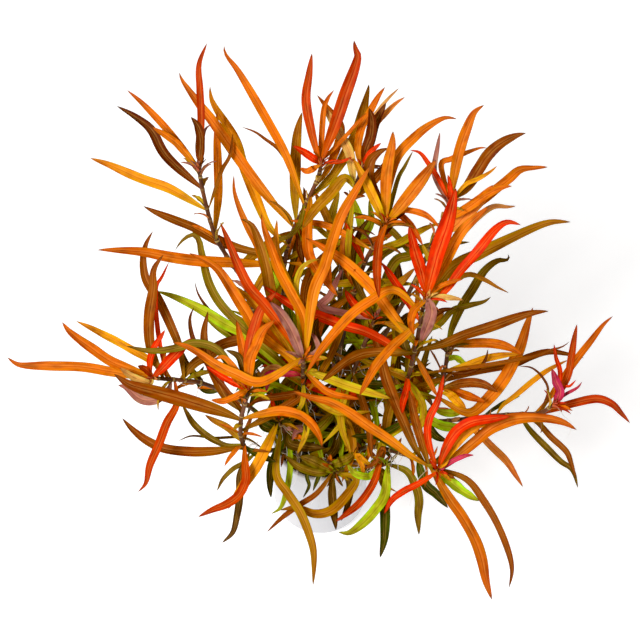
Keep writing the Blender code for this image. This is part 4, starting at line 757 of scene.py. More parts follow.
        leaf("c", "orange", 4.2, 6, (62, 322), (71, 333), (91, 348), (114, 363), (150, 377)),
        leaf("s", "amber", 3.2, -6, (76, 321), (93, 329), (115, 340), (134, 351), (158, 366),
             (168, 377)),
        leaf("c", "red", 2.8, 10, (165, 330), (156, 345), (150, 360), (151, 377)),
        leaf("c", "ember", 2.8, 9, (138, 366), (146, 370), (153, 378)),
        leaf("c", "red", 4.1, 5, (192, 338), (183, 347), (172, 358), (157, 377)),
        leaf("c", "peach", 2.9, 8, (120, 368), (133, 377), (150, 383), (158, 379)),
        leaf("o", "brown", 3.7, 5, (153, 231), (146, 244), (143, 260), (146, 280), (158, 299),
             (170, 324), (180, 350), (184, 378)),
        leaf("o", "brown", 4.2, 9, (163, 255), (154, 270), (153, 290), (149, 320), (151, 350),
             (162, 378)),
        leaf("s", "red", 2.0, -3, (169, 262), (162, 277), (156, 290), (158, 330), (166, 376)),
        leaf("s", "brown", 4.8, -4, (264, 337), (240, 340), (222, 345), (209, 355), (194, 364),
             (178, 378)),
        leaf("s", "ember", 3.6, 4, (138, 492), (146, 483), (150, 465), (159, 444), (167, 423),
             (177, 403), (176, 381)),
        leaf("s", "amber", 1.9, 5, (174, 390), (186, 384), (203, 380)),
        leaf("s", "mauve", 3.8, -3, (118, 385), (127, 388), (140, 399), (155, 400), (168, 390),
             (172, 381)),
        leaf("s", "olive", 2.2, 2, (213, 371), (198, 374), (186, 377)),
        leaf("s", "umber", 2.9, -6, (180, 346), (184, 360), (192, 372), (205, 383)),
        leaf("s", "green", 2.6, -6, (204, 366), (198, 378), (205, 390), (222, 393)),
    ],
    "h": [
        leaf("c", "orange", 4.4, 9, (275, 320), (263, 331), (256, 346), (250, 362), (249, 386)),
        leaf("c", "orange", 3.0, 4, (211, 400), (224, 401), (237, 396), (249, 387)),
        leaf("c", "red", 2.6, 1, (206, 366), (216, 373), (229, 381), (249, 388)),
        leaf("c", "ember", 4.5, 4, (277, 291), (262, 308), (254, 330), (249, 352), (247, 386)),
        leaf("c", "orange", 2.3, 3, (213, 360), (223, 357), (232, 365), (246, 385)),
        leaf("c", "umber", 2.9, -3, (226, 350), (238, 356), (243, 368), (247, 386)),
        leaf("s", "brown", 3.6, -3, (208, 311), (204, 334), (207, 356), (215, 377), (225, 397),
             (241, 412)),
        leaf("o", "brown", 5.5, 4, (114, 374), (131, 385), (163, 394), (194, 403), (222, 412),
             (241, 420)),
        leaf("s", "maroon", 2.2, -6, (194, 307), (190, 318), (191, 331), (196, 345), (215, 375),
             (240, 408)),
        leaf("s", "olive", 2.9, -4, (182, 404), (187, 413), (193, 423), (203, 433), (215, 441),
             (228, 446), (243, 445)),
        leaf("o", "brown", 4.1, 3, (122, 418), (133, 430), (147, 441), (165, 449), (190, 452),
             (215, 451), (243, 446)),
        leaf("s", "umber", 1.2, 1, (178, 441), (192, 436), (215, 438), (245, 438), (266, 449)),
        leaf("s", "ember", 3.6, 1, (198, 517), (212, 510), (227, 504), (239, 495), (246, 480),
             (245, 462), (244, 444)),
        leaf("s", "umber", 3.2, -5, (222, 543), (233, 532), (237, 515), (240, 496), (240, 475),
             (250, 450)),
        leaf("s", "olive", 2.0, -4, (217, 491), (223, 479), (233, 469), (245, 462), (258, 451)),
        leaf("s", "orange", 4.1, 12, (322, 447), (319, 436), (311, 424), (299, 415), (281, 411),
             (262, 414), (241, 418)),
        leaf("s", "brown", 3.5, -4, (246, 408), (258, 400), (275, 397), (300, 396), (262, 420),
             (243, 432)),
        leaf("s", "green", 2.9, -4, (276, 462), (262, 456), (250, 450), (246, 446)),
        leaf("s", "ochre", 2.9, -3, (205, 415), (215, 421), (228, 428), (243, 440)),
        leaf("s", "olive", 3.2, -6, (126, 346), (151, 351), (176, 348), (197, 343), (222, 354),
             (247, 388)),
    ],
    "m": [
        leaf("c", "mauve", 4.4, 7, (270, 302), (281, 314), (291, 330), (303, 352)),
        leaf("c", "orange", 4.1, -2, (172, 342), (185, 346), (200, 354), (215, 364), (235, 374),
             (262, 382), (300, 388)),
        leaf("c", "orange", 3.9, 5, (261, 213), (264, 228), (271, 248), (279, 270), (291, 293),
             (304, 320), (306, 352)),
        leaf("c", "amber", 3.5, 1, (277, 219), (276, 240), (279, 262), (288, 283), (300, 315),
             (305, 350)),
        leaf("c", "orange", 4.5, 9, (371, 165), (354, 193), (341, 216), (332, 242), (324, 268),
             (313, 295), (305, 354)),
        leaf("c", "ember", 3.9, 3, (220, 222), (229, 243), (238, 265), (249, 287), (264, 304),
             (282, 327), (302, 355)),
        leaf("s", "ochre", 4.4, -4, (240, 219), (251, 224), (259, 242), (266, 266), (272, 297),
             (290, 340), (303, 366)),
        leaf("s", "orange", 3.2, -7, (234, 174), (234, 190), (239, 207), (248, 228), (258, 248),
             (266, 275), (276, 310), (303, 374)),
        leaf("s", "olive", 3.5, -8, (175, 250), (185, 238), (197, 236), (202, 255), (209, 283),
             (223, 307), (252, 335), (303, 380)),
        leaf("s", "amber", 2.9, -3, (226, 283), (239, 290), (252, 302), (276, 330), (303, 370)),
        leaf("s", "orange", 4.6, 1, (189, 253), (206, 261), (218, 270), (231, 289), (245, 311),
             (262, 336), (302, 366)),
        leaf("s", "lime", 4.4, -10, (156, 291), (175, 297), (200, 309), (225, 324), (250, 338),
             (304, 385)),
        leaf("s", "maroon", 1.7, -8, (195, 281), (197, 291), (203, 302), (214, 315), (240, 340),
             (303, 388)),
        leaf("c", "umber", 4.4, -6, (318, 318), (314, 330), (316, 345), (305, 356)),
        leaf("c", "mauve", 2.0, -1, (309, 331), (315, 338), (318, 350), (305, 357)),
        leaf("s", "red", 3.5, 9, (259, 368), (272, 363), (286, 362), (296, 371), (308, 384),
             (330, 392), (360, 394), (304, 400)),
        leaf("s", "peach", 2.3, 5, (259, 378), (265, 370), (276, 367), (286, 373), (304, 378)),
        leaf("s", "magenta", 2.9, 8, (266, 392), (268, 382), (270, 374), (303, 376)),
        leaf("s", "lime", 2.5, 2, (258, 384), (275, 385), (292, 392), (304, 392)),
        leaf("c", "gold", 2.6, 4, (320, 259), (309, 262), (300, 271), (296, 290), (300, 315),
             (304, 352)),
        leaf("s", "lime", 3.6, -9, (203, 315), (218, 328), (240, 342), (270, 362), (303, 388)),
    ],
    "n": [
        leaf("c", "red", 3.5, 4, (345, 290), (352, 302), (362, 312), (374, 318)),
        leaf("c", "umber", 3.0, 5, (372, 215), (360, 232), (352, 262), (360, 290), (374, 316)),
        leaf("c", "mauve", 3.2, 5, (343, 268), (336, 282), (330, 296), (323, 308), (372, 322)),
        leaf("c", "ochre", 3.5, 0, (415, 268), (405, 278), (394, 289), (376, 316)),
        leaf("s", "olive", 3.8, -2, (322, 310), (340, 302), (352, 290), (356, 276), (366, 340)),
        leaf("s", "green", 3.5, -5, (396, 272), (392, 292), (384, 318), (366, 342)),
        leaf("s", "olive", 3.8, -3, (470, 242), (450, 244), (428, 247), (410, 256), (392, 266),
             (372, 330)),
    ],
    "t": [
        leaf("c", "orange", 3.3, -4, (385, 87), (378, 97), (370, 112), (361, 130), (358, 150),
             (361, 166)),
        leaf("c", "maroon", 3.8, 4, (386, 103), (379, 116), (373, 130), (369, 148), (362, 166)),
        leaf("c", "peach", 1.9, -1, (399, 88), (388, 99), (379, 110), (370, 126), (362, 166)),
        leaf("c", "salmon", 2.5, 1, (405, 97), (395, 104), (386, 113), (376, 124), (368, 142),
             (362, 166)),
        leaf("c", "maroon", 4.1, 9, (369, 108), (372, 120), (371, 135), (366, 150), (361, 166)),
        leaf("c", "red", 2.2, 6, (381, 143), (374, 149), (368, 156), (362, 167)),
        leaf("s", "peach", 3.8, 0, (322, 104), (333, 122), (342, 138), (350, 155), (356, 188)),
        leaf("s", "ochre", 4.6, 2, (303, 228), (315, 210), (330, 194), (345, 178), (357, 184)),
        leaf("s", "brown", 3.5, -4, (394, 150), (385, 166), (372, 182), (352, 198)),
    ],
    "j": [
        leaf("c", "amber", 4.5, 6, (228, 509), (239, 492), (254, 470), (266, 448), (279, 421)),
        leaf("s", "green", 3.6, -5, (271, 498), (270, 482), (272, 466), (278, 450), (284, 434)),
        leaf("s", "lime", 2.5, -2, (271, 514), (281, 507), (287, 489), (290, 470), (290, 452),
             (286, 434)),
        leaf("s", "ochre", 3.6, 2, (313, 586), (314, 566), (313, 548), (307, 528), (299, 510),
             (287, 492), (276, 472), (281, 428)),
        leaf("c", "green", 2.9, 2, (276, 368), (277, 390), (278, 419)),
        leaf("c", "olive", 2.3, 1, (296, 378), (288, 398), (280, 419)),
        leaf("c", "red", 1.7, 3, (271, 392), (273, 405), (278, 419)),
        leaf("s", "umber", 4.1, 0, (325, 448), (308, 447), (290, 444), (284, 432)),
        leaf("s", "mauve", 2.6, 1, (292, 441), (296, 432), (305, 428), (284, 428)),
        leaf("s", "green", 3.5, -4, (258, 420), (266, 428), (280, 432)),
    ],
    "r": [
        leaf("c", "umber", 3.5, 1, (336, 530), (334, 514), (332, 494), (333, 474)),
        leaf("c", "brown", 2.3, 5, (267, 532), (283, 517), (299, 505), (317, 493), (334, 476)),
        leaf("c", "ochre", 3.9, 7, (280, 510), (297, 508), (315, 514), (332, 510), (347, 495),
             (356, 478), (336, 473)),
        leaf("c", "olive", 3.2, 2, (284, 455), (299, 467), (318, 473), (333, 473)),
        leaf("c", "green", 1.9, -3, (313, 491), (317, 481), (322, 470), (333, 472)),
        leaf("s", "green", 1.6, -5, (303, 498), (309, 486), (308, 474), (329, 464)),
        leaf("s", "umber", 2.9, -5, (341, 521), (347, 507), (350, 491), (347, 477), (331, 467)),
        leaf("c", "olive", 4.9, -1, (300, 456), (316, 463), (334, 472)),
        leaf("s", "olive", 4.4, -2, (356, 452), (345, 460), (330, 465)),
    ],
    "s": [
        leaf("s", "ember", 3.2, 6, (335, 522), (349, 512), (362, 500), (374, 481), (381, 460),
             (387, 463)),
        leaf("c", "lime", 4.2, 4, (338, 532), (349, 533), (361, 525), (375, 510), (385, 494),
             (388, 465)),
        leaf("c", "green", 4.1, 0, (380, 558), (384, 540), (385, 520), (385, 500), (388, 466)),
        leaf("c", "olive", 3.6, 2, (419, 535), (418, 516), (419, 500), (415, 485), (406, 471),
             (389, 463)),
        leaf("s", "lime", 3.0, 2, (347, 464), (356, 474), (370, 476), (376, 466)),
        leaf("s", "amber", 2.2, 0, (364, 478), (362, 465), (357, 455), (374, 465)),
        leaf("s", "brown", 2.2, 3, (364, 469), (375, 462), (383, 448), (387, 462)),
        leaf("s", "peach", 1.3, 1, (397, 492), (388, 487), (380, 479), (372, 466)),
        leaf("s", "olive", 4.6, -3, (384, 490), (383, 478), (378, 466)),
    ],
}


def leaf_width_at(fraction):
    """Share of the full width at a fraction of the way from base to tip."""
    opening = np.sin(0.5 * np.pi * np.clip(fraction / LEAF_WIDEST_AT, 0.0, 1.0))
    rise = LEAF_BASE_WIDTH + (1.0 - LEAF_BASE_WIDTH) * opening
    fall = 1.0 - np.clip((fraction - LEAF_WIDEST_AT) / (1.0 - LEAF_WIDEST_AT), 0.0, 1.0) ** LEAF_TAPER
    return rise * fall


def spread(number):
    """A small shift of a leaf's base, different for each leaf on a stem."""
    turn = number * GOLDEN_TURN
    reach = LEAF_BASE_SPREAD / MM
    pixels = reach / MM_PER_PIXEL
    return np.array([pixels * math.cos(turn), pixels * math.sin(turn), reach * math.cos(2.3 * turn)])


class Blade:
    """One leaf's middle line in the view, from its base to its tip."""

    def __init__(self, shoot, number, row, stem_seen):
        kind, self.colour, self.width, lift, points = row
        self.shoot = shoot
        self.kind = kind
        self.name = f"leaf_{shoot}{number}"
        end = np.array(points[-1], float)
        below_tip = stem_seen[:-CROWN_SAMPLES]
        nearest = np.argmin(np.hypot(below_tip[:, 0] - end[0], below_tip[:, 1] - end[1]))
        foot = stem_seen[-1 if kind == "c" else nearest] + spread(number)
        route = [foot[:2]] + [np.array(point, float) for point in points[-2::-1]]
        line = smooth_path(route, LEAF_SAMPLES)
        self.fraction = np.linspace(0.0, 1.0, LEAF_SAMPLES)
        below_crown = np.hypot(*(stem_seen[-1, :2] - foot[:2])) * MM_PER_PIXEL
        level = LEAF_LEVELLING * min(1.0, below_crown / LEAF_LEVEL_FROM)
        drop = (line[:, 1] - foot[1]) * MM_PER_PIXEL / math.tan(VIEW_ELEVATION)
        self.depth = (foot[2] + lift * self.fraction ** LEAF_LIFT_BEND
                      + np.where(drop > 0.0, LEAF_LEVELLING * drop, level * drop))
        self.across = line[:, 0]
        self.down = line[:, 1]
        steps = np.hypot(np.diff(self.across), np.diff(self.down))
        self.length = np.sum(steps) * VIEW_DISTANCE / VIEW_FOCUS
        reach = np.clip((self.fraction * self.length - LEAF_HELD) / (LEAF_FREE - LEAF_HELD), 0.0, 1.0)
        self.mobility = reach * reach * (3.0 - 2.0 * reach)
        self.half_width = 0.5 * self.width * leaf_width_at(self.fraction)


def inner_leaves(shoot, first, stem_paths, stems_seen):
    """Leaves inside the bunch: one every FILL_STEP down a stem, each turned from the last.

    A leaf that would reach out of the bunch's core, or touch another stem or the cup
    near its base, is turned on until it is clear, or left out.
    """
    stem_seen = stems_seen[shoot]
    middle, half_size = np.array(FILL_CORE[0]), np.array(FILL_CORE[1])
    offset = FILL_TURN * (ord(shoot) - ord("a"))
    walked = np.linalg.norm(np.diff(stem_paths[shoot], axis=0), axis=1) / MM
    below_tip = np.concatenate([np.cumsum(walked[::-1])[::-1], [0.0]])
    others = np.vstack([smooth_path(path[1:], FILL_CHECKS)
                        for name, path in stem_paths.items() if name != shoot])
    grown = []
    for number in range(FILL_MOST):
        place = int(np.argmin(np.abs(below_tip - FILL_FIRST - number * FILL_STEP)))
        if stem_paths[shoot][place, 2] < FILL_LOWEST:
            break
        foot = stem_seen[place, :2]
        longer, bend, wider, lift = [size * math.sin(rate * number + phase * offset)
                                     for size, rate, phase in FILL_SWINGS]
        length = (FILL_LENGTH + longer) / MM_PER_PIXEL
        colours = FILL_COLOURS[place * len(FILL_COLOURS) // STEM_SAMPLES]
        for attempt in range(FILL_TRIES):
            turn = offset + GOLDEN_TURN * (number + FILL_TRY_STEP * attempt)
            tip = foot + length * np.array([math.cos(turn), math.sin(turn)])
            way = foot + FILL_WAY * length * np.array([math.cos(turn + bend), math.sin(turn + bend)])
            row = leaf("s", colours[number % len(colours)], FILL_WIDTH + wider, lift,
                       tuple(tip), tuple(way), tuple(foot))
            blade = Blade(shoot, first + len(grown), row, stem_seen)
            line = seen(blade.across, blade.down, blade.depth)
            near = line[blade.fraction * blade.length < FILL_FOOT]
            apart = np.min(np.linalg.norm(near[:, None] - others[None], axis=2))
            from_middle = np.stack([blade.across, blade.down], axis=1) - middle
            inside = np.linalg.norm(from_middle / half_size, axis=1).max() < 1.0
            if inside and apart > FILL_APART and line[:, 2].min() > FILL_LOWEST:
                grown.append(blade)
                break
    return grown


def part_leaves(blades, stems_seen):
    """Move leaves that cross apart, towards or away from the viewer.

    Where two leaves, or a leaf and a stem, would touch, the one in front comes
    nearer and the one behind goes back, until they are clear of each other. Leaf
    bases stay on their stems, and a leaf's place in the view doesn't change.
    """
    places = np.vstack([np.stack([blade.across, blade.down, blade.depth], axis=1) for blade in blades]
                       + stems_seen)
    across, down, start = places.T
    mobility = np.concatenate([blade.mobility for blade in blades]
                              + [np.zeros(len(stem)) for stem in stems_seen])
    half = np.concatenate([blade.half_width for blade in blades]
                          + [np.full(len(stem), STEM_RADIUS_ROOT / MM) for stem in stems_seen])
    sizes = [LEAF_SAMPLES] * len(blades) + [len(stem) for stem in stems_seen]
    owner = np.repeat(np.arange(len(sizes)), sizes)
    first, second = [], []
    for index in range(len(across)):
        others = np.arange(index + 1, len(across))
        reach = (half[index] + half[others] + EDGE_MARGIN) / MM_PER_PIXEL
        close = np.hypot(across[others] - across[index], down[others] - down[index]) < reach
        close &= (owner[others] != owner[index]) & (mobility[others] + mobility[index] > LEAST_MOBILITY)
        first.append(np.full(close.sum(), index))
        second.append(others[close])
    first = np.concatenate(first)
    second = np.concatenate(second)
    pair = owner[first] * len(sizes) + owner[second]
    _, which = np.unique(pair, return_inverse=True)
    lead = np.bincount(which, start[first] - start[second]) / np.bincount(which)
    order = np.where(lead >= 0.0, 1.0, -1.0)[which]
    stem_pair = owner[second] >= len(blades)
    wanted = np.where(stem_pair, STEM_CLEARANCE, LEAF_CLEARANCE) / MM
    share = mobility[first] + mobility[second]
    depth = start.copy()
    for _ in range(RELAX_ROUNDS):
        short = np.clip(wanted - order * (depth[first] - depth[second]), 0.0, None)
        forward = np.zeros(len(depth))
        backward = np.zeros(len(depth))
        part_first = short * mobility[first] / share
        part_second = short * mobility[second] / share
        np.maximum.at(forward, first, np.where(order > 0, part_first, 0.0))
        np.maximum.at(backward, first, np.where(order < 0, part_first, 0.0))
        np.maximum.at(forward, second, np.where(order < 0, part_second, 0.0))
        np.maximum.at(backward, second, np.where(order > 0, part_second, 0.0))
        moved = depth - start + RELAX_GAIN * (forward - backward)
        leaves = moved[:len(blades) * LEAF_SAMPLES].reshape(len(blades), LEAF_SAMPLES)
        padded = np.pad(leaves, ((0, 0), (1, 1)), mode="edge")
        leaves = 0.25 * padded[:, :-2] + 0.5 * leaves + 0.25 * padded[:, 2:]
        moved[:leaves.size] = leaves.ravel()
        depth = start + moved * (mobility > 0.0)
    for index, blade in enumerate(blades):
        blade.depth = depth[index * LEAF_SAMPLES:(index + 1) * LEAF_SAMPLES]


def room_round(blade, blades, stem_paths):
    """Smallest distance from a leaf's middle line to the other shoots, in metres."""
    line = seen(blade.across, blade.down, blade.depth)
    others = [seen(other.across, other.down, other.depth)
              for other in blades if other.shoot != blade.shoot]
    others += [smooth_path(path[1:], FILL_CHECKS)
               for shoot, path in stem_paths.items() if shoot != blade.shoot]
    return np.min(np.linalg.norm(line[:, None] - np.vstack(others)[None], axis=2))


def frames_along(path):
    """Side and upper normal of a leaf at each point of its middle line."""
    tangent = np.gradient(path, axis=0)
    tangent /= np.linalg.norm(tangent, axis=1, keepdims=True)
    upwards = VIEW_BACK + np.array([0.0, 0.0, 1.0])
    upwards /= np.linalg.norm(upwards)
    normal = upwards - (tangent @ upwards)[:, None] * tangent
    normal /= np.linalg.norm(normal, axis=1, keepdims=True)
    return np.cross(tangent, normal), normal


def colour(red, green, blue):
    """A linear colour from display values of 0 to 255."""
    display = np.array([red, green, blue]) / 255.0
    return np.where(display < 0.04045, display / 12.92, ((display + 0.055) / 1.055) ** 2.4)


# Colours of a leaf at its base and in its middle; towards its tip it is a little darker
TINTS = {
    "maroon": ((140, 58, 8), (106, 38, 5)), "ember": ((214, 92, 6), (198, 54, 4)),
    "red": ((226, 70, 4), (234, 44, 4)), "rust": ((186, 100, 6), (208, 78, 4)),
    "orange": ((206, 128, 10), (226, 106, 10)), "amber": ((204, 150, 14), (236, 144, 16)),
    "gold": ((186, 158, 22), (206, 160, 22)), "salmon": ((226, 140, 34), (244, 134, 54)),
    "pink": ((228, 80, 30), (248, 122, 96)), "peach": ((214, 176, 84), (232, 166, 92)),
    "ochre": ((170, 132, 12), (176, 108, 8)), "brown": ((140, 92, 6), (150, 68, 4)),
    "umber": ((104, 80, 8), (88, 54, 6)), "olive": ((136, 124, 14), (128, 98, 10)),
    "green": ((84, 92, 10), (66, 68, 8)), "lime": ((176, 184, 26), (178, 190, 26)),
    "mauve": ((180, 116, 110), (180, 110, 104)), "magenta": ((214, 50, 60), (206, 44, 92)),
}
TINTS = {name: [colour(*display) for display in pair] for name, pair in TINTS.items()}
TIP_SHADE = np.array([0.78, 0.62, 0.70])
TINT_BRIGHTNESS = (0.88, 1.10)
TINT_YELLOWING = (0.98, 1.20)
TINT_BRIGHTEST = 0.95
BLADE_STATIONS = 36
BLADE_ACROSS = np.array([-1.0, -0.88, -0.62, -0.34, -0.11, 0.0, 0.11, 0.34, 0.62, 0.88, 1.0])
HEART_BELOW_TIP = 0.012
HEART_LOWEST = 0.047
HEART_STEP = 0.0045
HEART_LENGTH = (13.0, 32.0)
HEART_WIDTH = (1.9, 3.8)
HEART_LIFT = (-10.0, 1.0)
HEART_BEND = 0.5
HEART_SEED = 500
HEART_FIRST = 20
HEART_STATIONS = 20
HEART_COLOURS = (("green", "umber", "olive", "lime", "green", "olive>ochre"),
                 ("olive", "green", "ochre", "umber>olive", "gold", "lime"),
                 ("ochre", "olive", "gold", "orange", "brown>orange", "olive>gold"))
BUD_PAIRS = 5
BUD_STEP = 0.0005
BUD_LENGTH = (0.0026, 0.0013)
BUD_WIDTH = (0.0007, 0.00018)
BUD_LEAN = (0.16, 0.14)
AXIL_LENGTH = (0.0045, 0.0125)
AXIL_WIDTH = (0.0011, 0.0024)
AXIL_LEAN = (0.35, 0.95)
AXIL_LOWEST = 0.030
AXIL_SHARE = 0.75
AXIL_YOUNG = 0.045
AXIL_COLOURS = (("gold", "ochre", "orange", "brown"), ("olive", "ochre", "lime", "green", "brown", "mauve"))
LEAFLET_STATIONS = 10
LEAFLET_SWING = 0.35
LEAFLET_SEED = 300
LEAFLET_LENGTHS = (0.85, 1.15)
LEAFLET_AXIS_STEP = 4
ACROSS_ALL_STEMS = (0.31, 0.95, 0.05)
BLADE_WIDER = 0.94
BLADE_FULLNESS = 0.74
BLADE_PETIOLE = 0.17
BLADE_PETIOLE_LENGTH = 0.3
BLADE_THIN = 0.00013
BLADE_MIDRIB = 0.00020
BLADE_GROOVE = 0.00008
BLADE_FOLD = (0.16, 0.50)
BLADE_CURL = (-0.15, 0.20)
BLADE_WAVE = (0.06, 0.24)
BLADE_WAVES = (1.5, 3.5)
BLADE_TURN = 0.30
BLADE_TWIST = 0.22
BLADE_TWISTS = (0.6, 1.4)
BLADE_TURNED_FROM = 0.2
BLADE_PATTERNS = 10.0
BLADE_SEED = 700


def blade_sheet(path, side, normal, half, tints, chance):
    """Points, faces and carried values of one leaf blade.

    Seen across the leaf, a point at share t (-1 to 1) of the half width w stands at
    t w sideways and fold w |t| + curl w t^2 + wave w |t|^1.5 sin(2 pi n s + p) above the
    middle line, less (fold + curl) w / 2 and a groove over the midrib. The frame turns
    slowly about the line.
    """
    s = np.linspace(0.0, 1.0, len(path))[:, None]
    t = BLADE_ACROSS[None]
    shapes = (BLADE_FOLD, BLADE_CURL, BLADE_WAVE, BLADE_WAVES)
    fold, curl, wave, waves = (chance.uniform(*shape) for shape in shapes)
    start, other = chance.uniform(0.0, 2.0 * np.pi, 2)
    turn = chance.uniform(-BLADE_TURN, BLADE_TURN) * np.sin(np.pi * s)
    twist = chance.uniform(-BLADE_TWIST, BLADE_TWIST)
    turn = turn + twist * np.sin(2.0 * np.pi * chance.uniform(*BLADE_TWISTS) * s + other)
    turn = turn * np.clip(s / BLADE_TURNED_FROM, 0.0, 1.0)
    out = np.cos(turn) * side + np.sin(turn) * normal
    up = np.cos(turn) * normal - np.sin(turn) * side
    ripple = np.sin(2.0 * np.pi * waves * s + start + np.where(t < 0.0, other, 0.0))
    height = half[:, None] * (fold * np.abs(t) + curl * t ** 2 + wave * np.abs(t) ** 1.5 * ripple)
    height = height - 0.5 * (fold + curl) * half[:, None] - BLADE_GROOVE * np.exp(-(t / 0.10) ** 2)
    thick = BLADE_THIN + BLADE_MIDRIB * np.exp(-(t / 0.16) ** 2) * (1.0 - 0.75 * s)
    top = path[:, None] + out[:, None] * (half[:, None] * t)[..., None] + up[:, None] * height[..., None]
    edge = np.where(np.abs(t) > 0.99, 0.0, 1.0) * np.ones_like(s)
    below = top - up[:, None] * (thick * edge)[..., None]
    ring = np.concatenate([top, below[:, -2:0:-1]], axis=1)
    sides = ring.shape[1]
    row, column = np.meshgrid(np.arange(len(path) - 1), np.arange(sides), indexing="ij")
    low, after = row * sides, (column + 1) % sides
    faces = np.stack([low + column, low + sides + column, low + sides + after, low + after], axis=-1)
    caps = [tuple(range(sides)), tuple(range(len(path) * sides - 1, (len(path) - 1) * sides - 1, -1))]
    under = np.concatenate([np.zeros(len(BLADE_ACROSS)), np.ones(sides - len(BLADE_ACROSS))])
    across = np.concatenate([BLADE_ACROSS, BLADE_ACROSS[-2:0:-1]])
    many = len(path)
    carried = {
        "along": np.repeat(s.ravel(), sides), "across": np.tile(across, many),
        "under": np.tile(under, many), "seed": np.full(many * sides, chance.uniform(0.0, BLADE_PATTERNS)),
        "low": np.tile(tints[0], (many * sides, 1)), "mid": np.tile(tints[1], (many * sides, 1)),
        "high": np.tile(tints[2], (many * sides, 1)),
    }
    return ring.reshape(-1, 3), faces.reshape(-1, 4).tolist() + caps, carried


def heart_leaves(shoot, first, chance):
    """Leaves deep in the bunch, at random places down a stem, inside the core."""
    stem_seen, path = stems_seen[shoot], stem_paths[shoot]
    walked = np.linalg.norm(np.diff(path, axis=0), axis=1)
    below_tip = np.concatenate([np.cumsum(walked[::-1])[::-1], [0.0]])
    allowed = np.nonzero((below_tip > HEART_BELOW_TIP) & (path[:, 2] > HEART_LOWEST))[0]
    grown = []
    for number in range(int(below_tip[allowed].max() / HEART_STEP) if len(allowed) else 0):
        place = int(chance.choice(allowed))
        foot = stem_seen[place, :2]
        length = chance.uniform(*HEART_LENGTH) / MM_PER_PIXEL
        turn, bend = chance.uniform(0.0, 2.0 * np.pi), chance.uniform(-HEART_BEND, HEART_BEND)
        tip = foot + length * np.array([math.cos(turn), math.sin(turn)])
        way = foot + FILL_WAY * length * np.array([math.cos(turn + bend), math.sin(turn + bend)])
        colours = HEART_COLOURS[place * len(HEART_COLOURS) // len(path)]
        row = leaf("s", str(chance.choice(colours)), chance.uniform(*HEART_WIDTH),
                   chance.uniform(*HEART_LIFT), tuple(tip), tuple(way), tuple(foot))
        blade = Blade(shoot, first + number, row, stem_seen)
        from_middle = np.stack([blade.across, blade.down], axis=1) - np.array(FILL_CORE[0])
        height = seen(blade.across, blade.down, blade.depth)[:, 2].min()
        outmost = np.linalg.norm(from_middle / np.array(FILL_CORE[1]), axis=1).max()
        if outmost < 1.0 and height > HEART_LOWEST:
            grown.append(blade)
    return grown


def leaflet_line(foot, axis, away, length, lean):
    """Middle line, side and normal of a small leaf that leaves a stem and curves out.

    At share s of its length it stands length (s axis cos a + s away sin a) from its foot,
    where the angle a grows from 0.6 lean to 1.4 lean.
    """
    s = np.linspace(0.0, 1.0, LEAFLET_STATIONS)[:, None]
    angle = lean * (0.6 + 0.8 * s)
    path = foot + length * s * (axis * np.cos(angle) + away * np.sin(angle))
    tangent = np.gradient(path, axis=0)
    tangent /= np.linalg.norm(tangent, axis=1, keepdims=True)
    side = np.cross(tangent, axis * np.sin(angle) - away * np.cos(angle))
    side /= np.linalg.norm(side, axis=1, keepdims=True)
    return path, side, np.cross(side, tangent)


def gather(sheets):
    """Several sheets of points, faces and carried values as one."""
    starts = np.cumsum([0] + [len(points) for points, _, _ in sheets[:-1]])
    faces = [tuple(int(corner) + start for corner in face)
             for start, (_, own, _) in zip(starts.tolist(), sheets) for face in own]
    carried = {name: np.concatenate([sheet[2][name] for sheet in sheets]) for name in sheets[0][2]}
    return np.vstack([sheet[0] for sheet in sheets]), faces, carried


def varied(names, chance):
    """A leaf's three colours, from one name or base>tip, a little varied."""
    names = names.split(">")
    middle = np.mean([TINTS[name][1] for name in names], axis=0)
    shade = chance.uniform(*TINT_BRIGHTNESS)
    warm = np.array([1.0, chance.uniform(*TINT_YELLOWING), 1.0])
    tip = TINTS[names[-1]][1] * TIP_SHADE
    return [np.clip(tint * shade * warm, 0.0, TINT_BRIGHTEST) for tint in (TINTS[names[0]][0], middle, tip)]


leaf_skin = Finish("leaf_skin", {"IOR": 1.42, "Specular IOR Level": 0.08})
s, t = leaf_skin.attribute("along"), leaf_skin.attribute("across")
under, seed = leaf_skin.attribute("under"), leaf_skin.attribute("seed")
edge = t.size()
place = leaf_skin.place()
grain = leaf_skin.node("ShaderNodeCombineXYZ", X=t * 2.6, Y=s * 2.2, Z=seed * 7.0)
streak = leaf_skin.noise(grain, 1.6, 4.0, 0.62)
fine = leaf_skin.noise(leaf_skin.node("ShaderNodeCombineXYZ", X=t * 15.0, Y=s * 7.0 + edge * 3.0,
                                      Z=seed * 3.0), 1.5, 2.0)
blotch = leaf_skin.noise(place, 150.0, 3.0)
patch = leaf_skin.noise(leaf_skin.node("ShaderNodeCombineXYZ", X=t * 0.8, Y=s * 5.0, Z=seed * 5.0),
                        1.3, 2.0)
body = leaf_skin.mix(s.between(-0.05, 0.42), leaf_skin.attribute("low", "Color"),
                     leaf_skin.attribute("mid", "Color"))
body = leaf_skin.mix((s + patch * 0.5).between(0.80, 1.22), body, leaf_skin.attribute("high", "Color"))
body = leaf_skin.mix(patch.between(0.48, 0.72) * 0.60, body, (0.46, 0.40, 0.30), "MULTIPLY")
body = leaf_skin.mix(streak.between(0.50, 0.74) * 0.42, body, leaf_skin.attribute("low", "Color"))
body = leaf_skin.mix(blotch.between(0.48, 0.70) * 0.45, body, (0.58, 0.46, 0.36), "MULTIPLY")
body = leaf_skin.mix(fine.between(0.45, 0.75) * 0.35, body, (0.50, 0.36, 0.26), "MULTIPLY")
beside = edge.between(0.05, 0.14) * (1.0 - edge.between(0.18, 0.50))
body = leaf_skin.mix(beside * fine.between(0.35, 0.60) * 0.22, body, (0.90, 0.52, 0.10))
